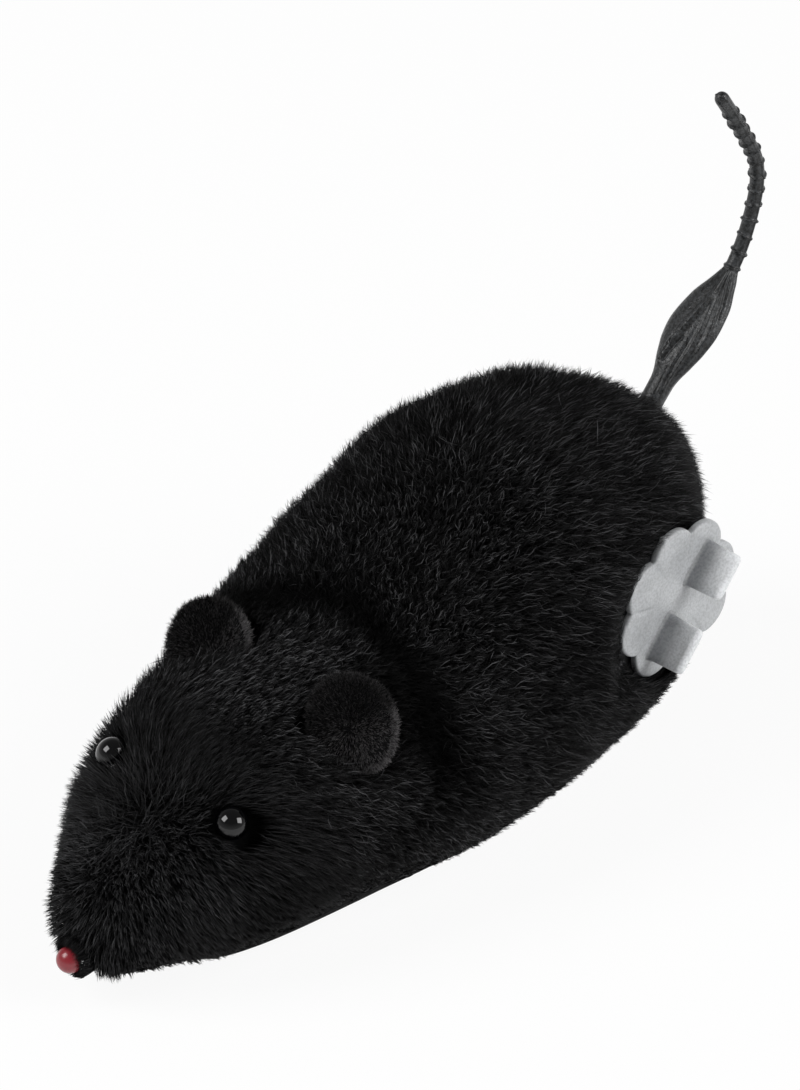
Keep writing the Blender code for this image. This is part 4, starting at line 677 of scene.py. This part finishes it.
def collar_lines(count, rng):
    """Hairs that lean forward round the nose bead, so that the fur closes up to it."""
    turn = rng.random(count) * TWO_PI
    ring = np.stack([np.cos(turn), np.zeros(count), np.sin(turn)], axis=-1)
    middle = np.array([0.0, NOSE_Y, NOSE_HEIGHT])
    root = middle + ring * (rng.uniform(2.3, 3.1, count) * MM)[:, None]
    root = root + BACK * (rng.uniform(3.4, 5.0, count) * MM)[:, None]
    near = 0.5 + 0.5 * np.cos(turn - math.radians(25))
    reach = (rng.uniform(1.5, 2.4, count) - 0.5 * near) * MM
    tip = middle + ring * (rng.uniform(1.95, 2.5, count) * MM)[:, None] + BACK * reach[:, None]
    tip += rng.normal(size=(count, 3)) * 0.10 * MM
    bends = [root * 0.45 + tip * 0.55 + ring * 0.35 * MM]
    thick = rng.uniform(0.045, 0.075, count) * MM
    shade = 0.5 * rng.beta(0.8, 2.4, count)
    return np.zeros(count), root, bends, tip, thick, shade, ring


def clear_of_others(lines):
    """Which hairs stay clear of the eyes, ears, nose and winding knob."""
    keep = np.ones(len(lines[0]), bool)
    root, bends, tip = lines[1:4]
    bend = sum(bends) / len(bends)
    eyes = [eye_axes(side) for side in (1, -1)]
    ears = [ear_axes(name) for name in EARS]
    for t in (0.0, 0.35, 0.7, 1.0):
        p = root * (1 - t) ** 2 + bend * (2 * t * (1 - t)) + tip * t * t
        for base, axis in eyes:
            from_eye = p - base
            along = from_eye @ axis
            aside = np.linalg.norm(from_eye - along[:, None] * axis, axis=-1)
            keep &= (aside > EYE_RADIUS + 0.08 * MM + 0.05 * np.clip(along, 0, None)) | (along < -3.4 * MM)
        for centre, across, up, out in ears:
            q = p - centre
            w = q @ out
            r = np.hypot((q @ across) / EAR_WIDTH, q @ up)
            keep &= (r > EAR_RADIUS) | (w < -2.6 * MM) | (w > 0.9 * MM)
        behind_tip = np.clip((p[:, 1] - NOSE_Y) / NOSE_RADIUS, 0, 1)
        bead = NOSE_RADIUS * np.sqrt(1 - (1 - behind_tip) ** 2) + 0.04 * MM
        keep &= (np.hypot(p[:, 0], p[:, 2] - NOSE_HEIGHT) > bead) | (p[:, 1] > NOSE_Y + 2.6 * MM)
        away = knob_offset(p)[1]
        out = p[:, 0] - KNOB_STAND
        low = p[:, 2] < KNOB_AXIS[1] - 2 * MM
        above = out > -0.3 * MM
        keep &= ~((away < KNOB_RADIUS + 0.2 * MM) & above & (out < np.where(low, 1.5, 9.0) * MM))
        keep &= ~((away < KNOB_RADIUS - 1.1 * MM) & above)
    return keep


def hair_mesh(name, root, bends, tip, thick, shade, normal):
    """Hairs as slender closed spindles: a point at the root, three points round each bend, and a point.

    The three points stand at thirds of a turn in a plane across the hair.
    """
    count = len(root)
    rings = len(bends)
    along = unit(tip - root)
    side = unit(np.cross(along, normal + np.array([0.013, 0.007, 0.003])))
    over = np.cross(side, along)
    turn = TWO_PI * np.arange(3) / 3
    ring = np.cos(turn)[None, :, None] * side[:, None, :] + np.sin(turn)[None, :, None] * over[:, None, :]
    around = [bend[:, None, :] + ring * thick[:, None, None] for bend in bends]
    points = np.concatenate([root[:, None, :], *around, tip[:, None, :]], axis=1)
    last = 3 * rings + 1
    tris = []
    for i, j in ((0, 1), (1, 2), (2, 0)):
        tris.append((0, 1 + j, 1 + i))
        for level in range(rings - 1):
            low = 1 + 3 * level
            tris.append((low + i, low + j, low + 3 + i))
            tris.append((low + j, low + 3 + j, low + 3 + i))
        tris.append((last - 3 + i, last - 3 + j, last))
    tris = (np.array(tris)[None] + np.arange(count)[:, None, None] * (last + 1)).reshape(-1, 3)
    mesh = bpy.data.meshes.new(name)
    mesh.vertices.add(count * (last + 1))
    mesh.vertices.foreach_set("co", points.astype(np.float32).ravel())
    mesh.loops.add(tris.size)
    mesh.loops.foreach_set("vertex_index", tris.astype(np.int32).ravel())
    mesh.polygons.add(len(tris))
    mesh.polygons.foreach_set("loop_start", np.arange(0, tris.size, 3, dtype=np.int32))
    mesh.update(calc_edges=True)
    mesh.shade_smooth()
    tone = mesh.attributes.new("shade", "FLOAT", "POINT")
    # painted shade: each hair darkens towards its root, deep in the pile
    rise = np.concatenate([[0.0], np.full(3 * rings, 0.8), [1.0]])
    tone.data.foreach_set("value", (shade[:, None] * rise[None, :]).astype(np.float32).ravel())
    return new_object(name, mesh)


def make_coat(name, lines, pieces, material):
    """Part of the pile, in pieces from the nose to the rump with equal numbers of hairs."""
    keep = clear_of_others(lines)
    share, root, bends, tip, thick, shade, normal = lines
    chosen = np.flatnonzero(keep)[np.argsort(share[keep])]
    for number, rows in enumerate(np.array_split(chosen, pieces), 1):
        bent = [bend[rows] for bend in bends]
        made = hair_mesh(
            f"{name}_{number}", root[rows], bent, tip[rows], thick[rows], shade[rows], normal[rows]
        )
        finish(made, material, "body", "fur_cover")


# Ears

EAR_THICKNESS = 1.7 * MM
EAR_CUP = 2.3 * MM
EAR_HAIRS = 18000


def ear_surface(name, way, turn, proud=0.0):
    """Points of an ear. Way runs from 0 in the middle of the hollow, over the rim at 1, to 2 behind.

    The radius is R sin(pi way / 2). The hollow is a bowl whose depth falls with a power of the radius, with
    its deepest place towards the nose side, and the wall's half thickness is the square root of the cosine,
    which rounds the rim. The rim waves a little, as cut cloth does.
    """
    centre, across, up, out = ear_axes(name)
    r = np.sin(math.pi * way / 2)
    face = np.cos(math.pi * way / 2)
    away = np.hypot(r * np.cos(turn) + 0.22, r * np.sin(turn) + 0.10)
    bowl = -EAR_CUP * (1 - np.clip(away / 1.12, 0, 1.2) ** 2.2)
    bowl = bowl + 0.35 * MM * r ** 2 * np.sin(3 * turn + 1.1)
    edge = np.sign(face) * np.sqrt(np.abs(face))
    w = bowl + EAR_THICKNESS / 2 * edge + proud * edge
    reach = (EAR_RADIUS - 0.6 * MM + proud) * r
    wide = EAR_WIDTH * reach * np.cos(turn)
    high = reach * np.sin(turn)
    return centre + wide[..., None] * across + high[..., None] * up + w[..., None] * out


def make_ear(name, skin, pile, rng):
    """Cupped ear in short velvet: a closed skin and a coat of fine hairs that lie outwards and up."""
    way, turn = np.meshgrid(np.linspace(0.0, 2.0, 49), TWO_PI * np.arange(64) / 64, indexing="ij")
    points = ear_surface(name, way, turn)
    piece = make_piece(name + "_skin", points, tube_faces(*way.shape))
    finish(piece, skin, "body", name)
    count = EAR_HAIRS
    area_way = np.arccos(1 - 2 * rng.random(count)) * 2 / math.pi
    spin = rng.random(count) * TWO_PI
    root = ear_surface(name, area_way, spin)
    normal = unit(ear_surface(name, area_way, spin, 0.9 * MM) - root)
    centre, _, up, out = ear_axes(name)
    way_out = unit((root - centre) - out * ((root - centre) @ out)[:, None] + up * 1.5 * MM)
    length = rng.uniform(0.40, 0.80, count) * MM
    stray = rng.normal(size=root.shape) * 0.30
    tip = root + (normal * 0.42 + way_out * 0.85 + stray) * length[:, None]
    bends = [root * 0.5 + tip * 0.5 + normal * (0.16 * length)[:, None]]
    thick = rng.uniform(0.032, 0.052, count) * MM
    # painted light on the side of the hollow's wall that faces the left softbox, painted shade on the rest of
    # the hollow
    wall = smooth(-0.15, 0.45, np.cos(spin - math.radians(-35)) * np.sin(math.pi * area_way / 2))
    shade = np.clip(rng.beta(0.9, 2.6, count) * (0.60 + 3.8 * wall), 0, 1)
    made = hair_mesh(name + "_pile", root, bends, tip, thick, shade, normal)
    finish(made, pile, "body", name)


# Eyes and nose

def make_eye(name, side, material):
    """Domed bead: a quarter circle turned round its outward axis, and its shank behind."""
    base, axis = eye_axes(side)
    rise = np.linspace(0, math.pi / 2, 22)
    dome = np.stack([EYE_RADIUS * 0.95 * np.sin(rise), EYE_RADIUS * np.cos(rise)], axis=-1)
    shank = [(-6.5 * MM, 0.0), (-6.5 * MM, 0.6 * MM), (-6.2 * MM, 0.8 * MM), (-0.15 * MM, 0.8 * MM),
             (-0.15 * MM, EYE_RADIUS - 0.15 * MM), (-0.05 * MM, EYE_RADIUS - 0.03 * MM)]
    points, faces = revolve(np.concatenate([shank, dome]), 64, base, axis)
    finish(make_piece(name + "_bead", points, faces), material, "body", name)


def make_nose(material):
    """Rounded bead on a peg, turned round the line that runs back from the tip of the nose."""
    origin = (0.0, NOSE_Y, NOSE_HEIGHT)
    rise = np.linspace(0, math.pi / 2, 20)
    cap = np.stack([NOSE_RADIUS * (1 - np.cos(rise)), NOSE_RADIUS * np.sin(rise)], axis=-1)
    rest = [(2.15, 1.86), (2.32, 1.78), (2.4, 1.6), (2.4, 0.8), (9.0, 0.8), (9.5, 0.4), (9.5, 0.0)]
    points, faces = revolve(np.concatenate([cap, np.array(rest) * MM]), 56, origin, BACK)
    finish(make_piece("nose_button", points, faces), material, "body", "nose_bead")


# Tail

TAIL_LENGTH = 57.6 * MM
TAIL_PLACES = (0.00, 0.10, 0.21, 0.28, 0.34, 0.41, 0.50, 0.58, 0.65, 0.71, 0.76, 0.85, 1.00)
TAIL_HEADINGS = (45, 45.5, 39, 34, 36, 51, 66, 75, 90, 108, 120, 121.5, 124)
TAIL_ROOT_SHARE = 0.934
TAIL_SEAT = 1.0 * MM
LEAF_END = 0.405
LEAF_PLACES = (0.00, 0.07, 0.14, 0.18, 0.225, 0.30, 0.355, 0.405)
LEAF_WIDTHS = (0.00, 0.06, 0.60, 0.88, 1.00, 0.78, 0.36, 0.00)
STEM_ROOT = 1.75 * MM
STEM_END = 1.05 * MM
LEAF_HALF = 4.05 * MM
LEAF_FLAT = 0.50
RINGS = 13
LAST_RING = 0.915


def tail_line(share):
    """Points of the tail's middle line, and the direction over its flat side there.

    The line's heading in the mouse's middle plane is an eased curve, and its points are the running sum of
    the heading's cosine and sine.
    """
    at = np.linspace(0, 1, 1201)
    heading = np.radians(eased(TAIL_PLACES, TAIL_HEADINGS, at))
    middle = (heading[1:] + heading[:-1]) / 2
    root = body_point(TAIL_ROOT_SHARE, math.pi / 2)
    start = root - np.array([0.0, math.cos(heading[0]), math.sin(heading[0])]) * TAIL_SEAT
    stride = TAIL_LENGTH / 1200
    y = start[1] + np.concatenate([[0], np.cumsum(np.cos(middle))]) * stride
    z = start[2] + np.concatenate([[0], np.cumsum(np.sin(middle))]) * stride
    inside = np.minimum(share, 0) * TAIL_LENGTH
    share = np.clip(share, 0, 1)
    slope = np.interp(share, at, heading)
    ahead = np.cos(slope)[:, None] * BACK + np.sin(slope)[:, None] * UP
    over = np.cos(slope)[:, None] * UP - np.sin(slope)[:, None] * BACK
    line = np.interp(share, at, y)[:, None] * BACK + np.interp(share, at, z)[:, None] * UP
    return line + ahead * inside[:, None], over


def make_tail(material):
    """Moulded rubber tail: stem, flattened leaf with a vein and folds, and a cord with thin raised rings.

    Each section is an ellipse. Its half width is the stem's, which thins evenly, plus the leaf's share.
    Ridges, grooves and rings are Gaussian humps that are added away from the section's middle.
    """
    leaf_s = np.linspace(-0.16, LEAF_END, 150)
    cord_s = np.linspace(LEAF_END, 1.0, 330)[1:]
    share = np.concatenate([leaf_s, cord_s])
    turn = TWO_PI * np.arange(96) / 96
    s, a = share[:, None], turn[None, :]
    full = eased(LEAF_PLACES, LEAF_WIDTHS, np.clip(s, 0, LEAF_END))
    stem = STEM_ROOT + (STEM_END - STEM_ROOT) * np.clip(s / LEAF_END, 0, 1)
    wide = stem + (LEAF_HALF - stem) * full
    thick = wide * (1 + (LEAF_FLAT - 1) * full)
    lift = np.zeros((len(share), len(turn)))
    x = np.cos(a)
    rise = np.sin(a)
    top = rise > 0
    on_leaf = smooth(0.02, 0.10, s) * (1 - smooth(0.37, 0.40, s))
    # the vein runs from the neck down and bends over to the nose side
    vein_x = 0.30 - 0.42 * smooth(0.36, 0.15, s)
    vein = hump(x, vein_x, 0.10) * top * smooth(0.155, 0.19, s) * (1 - smooth(0.385, 0.40, s))
    lift += 0.60 * MM * vein
    # a short bar between two slots, at the vein's lower end
    bar_x = 0.02 - 0.9 * (0.20 - s) / 0.2
    bar_zone = smooth(0.115, 0.125, s) * (1 - smooth(0.185, 0.20, s)) * top
    lift += 0.38 * MM * hump(x, bar_x, 0.055) * bar_zone
    lift -= 0.60 * MM * (hump(x, bar_x - 0.15, 0.06) + 0.8 * hump(x, bar_x + 0.16, 0.06)) * bar_zone
    lip = hump(s, 0.112 + 0.05 * (x - bar_x) ** 2, 0.004) * hump(x, bar_x, 0.22) * top
    lift += 0.25 * MM * lip
    # folds along the leaf on its right half, and shallow ones on the other
    folds = np.sin(x * 21 + s * 40) * smooth(0.30, 0.55, x) * (1 - smooth(0.86, 0.97, x))
    lift += 0.20 * MM * folds * on_leaf * top
    under = np.sin(x * 26 - s * 30) * (1 - smooth(0.80, 0.95, np.abs(x)))
    lift += 0.09 * MM * under * on_leaf * ~top
    # the parting line's thin flash along both edges
    lift += 0.16 * MM * hump(np.abs(x), 1.0, 0.010) * smooth(0.03, 0.1, s)
    # rings on the cord
    first = LEAF_END + 0.004
    spacing = (LAST_RING - first) / (RINGS - 1)
    phase = (s - first) / spacing
    ring_number = np.clip(np.round(phase), 0, RINGS - 1)
    tilt = 0.010 * np.sin(a + ring_number * 1.3) * 0.35
    ring = hump(s + tilt, first + ring_number * spacing, 0.0034)
    height = 0.28 * MM + 0.06 * MM * np.sin(ring_number * 2.4)
    lift += height * ring * (s > LEAF_END - 0.01)
    # rounded tip
    end = np.clip((1.0 - s) * TAIL_LENGTH / (1.25 * MM), 0, 1)
    round_tip = np.sqrt(1 - (1 - end) ** 2)
    reach_x = (wide * x + lift * x) * round_tip
    reach_o = (thick * rise + lift * rise) * round_tip
    line, over = tail_line(share)
    points = line[:, None, :] + reach_x[..., None] * LEFT + reach_o[..., None] * over[:, None, :]
    # the last ring is a single point, so it needs no face
    piece = make_piece("tail_moulding", points, capped_faces(points)[:-1])
    finish(piece, material, "body", "tail")


# Winding knob

LOBES = 8
LOBE_RADIUS = 4.2 * MM
LOBE_TURN = math.radians(8.5)
DISC = 1.2 * MM
GATE_TURN = math.radians(105.1)
FIN_TURN = math.radians(48)
FIN_SIZE = np.array([7.2, 2.2]) * MM
FIN_GAP = 4.4 * MM
FIN_HEIGHT = 5.8 * MM
FIN_POWER = 0.36               # of the sine and the cosine in its section


def lobed_edge(angle):
    """Radius of the disc's edge: the outer side of a ring of equal circles, and how near a notch is."""
    middle = KNOB_RADIUS - LOBE_RADIUS
    pitch = TWO_PI / LOBES
    offset = (angle - LOBE_TURN + pitch / 2) % pitch - pitch / 2
    edge = middle * np.cos(offset) + np.sqrt(LOBE_RADIUS ** 2 - (middle * np.sin(offset)) ** 2)
    return edge, np.abs(offset) / (pitch / 2)


def knob_points(x, y, z):
    """Places from coordinates out along the knob's axis and across it."""
    return np.stack(np.broadcast_arrays(x, y + KNOB_AXIS[0] + NOSE_Y, z + KNOB_AXIS[1]), axis=-1)


def knob_disc():
    """Lobed disc: rings from the middle of its face over a rounded edge to the middle of its back.

    The edge's section is a rounded step: x falls by r(1 - cos) while the radius grows by r sin. A shallow
    crease runs inwards from each notch and the lobes between the creases are slightly crowned. The moulding's
    gate leaves a small stub on the edge.
    """
    angle = TWO_PI * np.arange(256) / 256
    edge, notch = lobed_edge(angle)
    edge = edge + 0.55 * MM * hump(angle, GATE_TURN, math.radians(1.6))
    soft = 0.42 * MM
    back_soft = soft * 0.6
    bend = np.linspace(0, math.pi / 2, 7)
    face = np.linspace(0.02, 1.0, 26)
    rows = []
    for share in face:
        crease = smooth(0.80, 1.0, notch) * smooth(0.50, 0.95, share) * 0.22 * MM
        crown = 0.10 * MM * np.sin(math.pi * np.clip((share - 0.45) / 0.55, 0, 1)) * (1 - notch ** 2)
        radius = (edge - soft) * share
        rows.append((np.full_like(angle, DISC) - crease + crown, radius))
    drop = 0.22 * MM * smooth(0.80, 1.0, notch)
    for b in bend[1:]:
        level = DISC - soft * (1 - np.cos(b)) - drop * (1 - b / bend[-1])
        rows.append((level, edge - soft + soft * np.sin(b)))
    for b in bend[-2::-1]:
        rows.append((back_soft * (1 - np.cos(b)), edge - back_soft + back_soft * np.sin(b)))
    for share in (0.7, 0.4, 0.02):
        rows.append((np.zeros_like(angle), (edge - soft) * share))
    points = np.stack([knob_points(KNOB_STAND + x, r * np.cos(angle), r * np.sin(angle)) for x, r in rows])
    return points, capped_faces(points)


def knob_fin(side):
    """Upright grip: a superellipse across, with draft, a flared foot and a rounded top."""
    half = FIN_SIZE / 2
    turn = TWO_PI * np.arange(72) / 72
    c = signed_power(np.cos(turn), FIN_POWER)
    d = signed_power(np.sin(turn), FIN_POWER)
    soft = 0.75 * MM
    flare = [(-0.4, 0.30), (0.0, 0.26), (0.12, 0.12), (0.35, 0.02)]
    foot = [(DISC + h * MM, grow * MM) for h, grow in flare]
    wall = [(DISC + h * MM, -0.03 * MM * h) for h in (0.8, 1.6, 2.4, 3.2, 4.0, 4.6)]
    top = DISC + FIN_HEIGHT - soft
    draft = 0.15 * MM          # how far the wall has drawn in at the top
    bends = np.linspace(0.15, math.pi / 2, 9)
    cap = [(top + soft * math.sin(b), -draft - soft * (1 - math.cos(b))) for b in bends]
    rows = []
    for x, grow in foot + wall + cap:
        rows.append((x, (half[0] + grow) * c, (half[1] + grow) * d))
    lowest = half[1] - draft - soft
    for share in (0.6, 0.2):
        wide = half[0] - draft - soft - lowest * (1 - share)
        rows.append((DISC + FIN_HEIGHT, wide * c, lowest * share * d))
    out = []
    for x, p, q in rows:
        p = p + side * (FIN_GAP + FIN_SIZE[0]) / 2
        y = p * math.cos(FIN_TURN) - q * math.sin(FIN_TURN)
        z = p * math.sin(FIN_TURN) + q * math.cos(FIN_TURN)
        out.append(knob_points(np.full_like(y, KNOB_STAND + x), y, z))
    points = np.stack(out)
    return points, capped_faces(points)


def make_knob(material):
    """Winding knob: disc, two grips and the sleeve that runs in to the motor."""
    sleeve = [(-9.0, 0.0), (-9.0, 2.8), (-8.8, 3.0), (-0.6, 3.0)]
    sleeve += [(-0.15, 3.15), (0.0, 3.5), (0.3, 3.5), (0.3, 0.0)]
    origin = (KNOB_STAND, *knob_centre())
    sleeve_part = revolve(np.array(sleeve) * MM, 48, origin, LEFT)
    all_points = []
    all_faces = []
    for points, faces in (knob_disc(), knob_fin(1), knob_fin(-1), sleeve_part):
        all_faces += [[i + len(all_points) for i in face] for face in faces]
        all_points.extend(points.reshape(-1, 3))
    piece = make_piece("knob_moulding", all_points, all_faces)
    finish(piece, material, "winder", "winding_knob")


# Stage

PHOTO_AZIMUTH = math.radians(42.99)
PHOTO_ELEVATION = math.radians(35.53)
PHOTO_DISTANCE = 835.2 * MM
PHOTO_MIDDLE = (0.0, 64.3 * MM + NOSE_Y, 22.0 * MM)
PHOTO_SHIFT = (1.58 * MM, 17.11 * MM)      # of the picture's middle from there, right and up
SENSOR = 36.0
LENS = 199.13
SOFTBOX_DISTANCE = 1.1
SOFTBOX_SIZE = 0.60
SOFTBOX_POWER = 7.4
FLOOR_SIDE = 6.0
FLOOR_GLOW = 0.92
WHITE = (1, 1, 1, 1)


def view_axes():
    """Right, up and back directions of the photo's camera."""
    a, e = PHOTO_AZIMUTH, PHOTO_ELEVATION
    back = np.array([math.sin(a) * math.cos(e), -math.cos(a) * math.cos(e), math.sin(e)])
    right = np.array([math.cos(a), math.sin(a), 0.0])
    return right, np.cross(back, right), back


def make_camera():
    """Camera that stands where the photo's stood."""
    right, up, back = view_axes()
    target = np.array(PHOTO_MIDDLE) + right * PHOTO_SHIFT[0] + up * PHOTO_SHIFT[1]
    data = bpy.data.cameras.new("photo_camera")
    data.sensor_fit = "VERTICAL"
    data.sensor_height = data.sensor_width = SENSOR
    data.lens = LENS
    data.clip_start = 0.05
    data.clip_end = 20.0
    camera = new_object("photo_camera", data)
    turn = Matrix((right, up, back)).transposed().to_4x4()
    camera.matrix_world = Matrix.Translation(target + back * PHOTO_DISTANCE) @ turn
    bpy.context.scene.camera = camera


def make_lamp(name, direction, roll):
    """Square softbox that faces the mouse from a direction given along the camera's axes."""
    right, up, back = view_axes()
    way = Vector(unit(right * direction[0] + up * direction[1] + back * direction[2]))
    data = bpy.data.lights.new(name, "AREA")
    data.shape = "SQUARE"
    data.size = SOFTBOX_SIZE
    data.energy = SOFTBOX_POWER
    lamp = new_object(name, data)
    middle = Vector((0.0, 0.0, 25 * MM))
    facing = way.to_track_quat("Z", "Y").to_matrix().to_4x4()
    place = Matrix.Translation(middle + way * SOFTBOX_DISTANCE)
    lamp.matrix_world = place @ facing @ Matrix.Rotation(roll, 4, "Z")


def make_world():
    """Room round the softboxes: dim overhead, paler towards the horizon, white where the camera sees it."""
    world = bpy.data.worlds.new("studio")
    world.use_nodes = True
    bpy.context.scene.world = world
    glow = world.node_tree.nodes["Background"]
    place = add(world, "TexCoord")
    split = add(world, "SeparateXYZ", Vector=(place, "Generated"))
    level = rescale(world, split, "Z", 0.0, 0.6, 0.55, 0.16)
    ray = add(world, "LightPath")
    seen = add(world, "Math", {"operation": "MAXIMUM"}, i0=(level, "Result"), i1=(ray, "Is Camera Ray"))
    world.node_tree.links.new(seen.outputs["Value"], glow.inputs["Strength"])
    glow.inputs["Color"].default_value = WHITE


def make_stage():
    """White floor, an even white surround and two softboxes, one on each side of the camera."""
    points = [(FLOOR_SIDE * x, FLOOR_SIDE * y, 0) for x, y in ((-1, -1), (1, -1), (1, 1), (-1, 1))]
    floor = make_piece("floor", points, [(0, 1, 2, 3)], outward=False)
    made = new_material("white_paper", "FAFAFA", 0.9, Specular_IOR_Level=0.1)
    tree = made.node_tree
    ray = add(made, "LightPath")
    seen = add(made, "Math", {"operation": "MAXIMUM"}, i0=(ray, "Is Camera Ray"), i1=(ray, "Is Glossy Ray"))
    glow = add(made, "Emission", {"Color": WHITE, "Strength": 1.0})
    part = add(made, "Math", {"operation": "MULTIPLY", 1: FLOOR_GLOW}, i0=(seen, "Value"))
    shader = tree.nodes["Principled BSDF"]
    mix = add(made, "MixShader", i0=(part, "Value"), i1=(shader, 0), i2=(glow, 0))
    tree.links.new(mix.outputs[0], tree.nodes["Material Output"].inputs["Surface"])
    floor.data.materials.append(made)
    make_world()
    make_lamp("softbox_left", (-0.67, 0.52, 0.53), 0.2)
    make_lamp("softbox_right", (0.78, 0.35, 0.51), 0.8)
    bpy.context.scene.view_settings.view_transform = "Standard"


make_camera()
make_stage()

PILE = fur_material("black_acrylic_pile", "020202", "6C6C6E")
VELVET = fur_material("black_velvet_pile", "040404", "6A6869")
BACKING = backing_material()
make_backing(BACKING)
FUR_RNG = np.random.default_rng(7)
make_coat("fur_coat", hair_lines(FINE_HAIRS, FUR_RNG, False), 7, PILE)
make_coat("guard_hairs", hair_lines(GUARD_HAIRS, FUR_RNG, True), 3, PILE)
make_coat("nose_collar", collar_lines(COLLAR_HAIRS, FUR_RNG), 1, PILE)
EAR_RNG = np.random.default_rng(21)
for ear in EARS:
    make_ear(ear, BACKING, VELVET, EAR_RNG)
EYE = plain("glossy_black_bead", "030304", 0.03, grain=1.5, depth=0.001, Specular_IOR_Level=0.5)
make_eye("eye_left", 1, EYE)
make_eye("eye_right", -1, EYE)
make_nose(plain("painted_pink_bead", "8A1F2A", 0.24, grain=0.6, depth=0.02, Specular_IOR_Level=0.7))
make_tail(rubber_material())
make_knob(milky_material())

CAD_FINISHES = {
    "shell": plain("black_abs_moulded", "101011", 0.5),
    "washer": plain("white_nylon", "E4E4E0", 0.5),
    "case": plain("white_abs_case", "DADAD6", 0.4),
    "spring_steel": plain("blued_spring_steel", "5B6470", 0.3, 1.0),
    "steel": plain("drawn_steel", "B9BCC0", 0.3, 1.0),
    "brass": plain("stamped_brass", "C9A24A", 0.35, 1.0),
    "gear_plastic": plain("white_acetal", "ECECE8", 0.4),
    "wheel": plain("black_wheel_plastic", "202022", 0.5),
    "tyre": plain("black_tyre_rubber", "18181A", 0.8),
}
SLOT_OF = {row["node"]: row["material_slot"] for row in frame["record"]["subparts"]}
for node, thing in frame["nodes"].items():
    if SLOT_OF[node] in CAD_FINISHES:
        thing.data.materials.clear()
        thing.data.materials.append(CAD_FINISHES[SLOT_OF[node]])
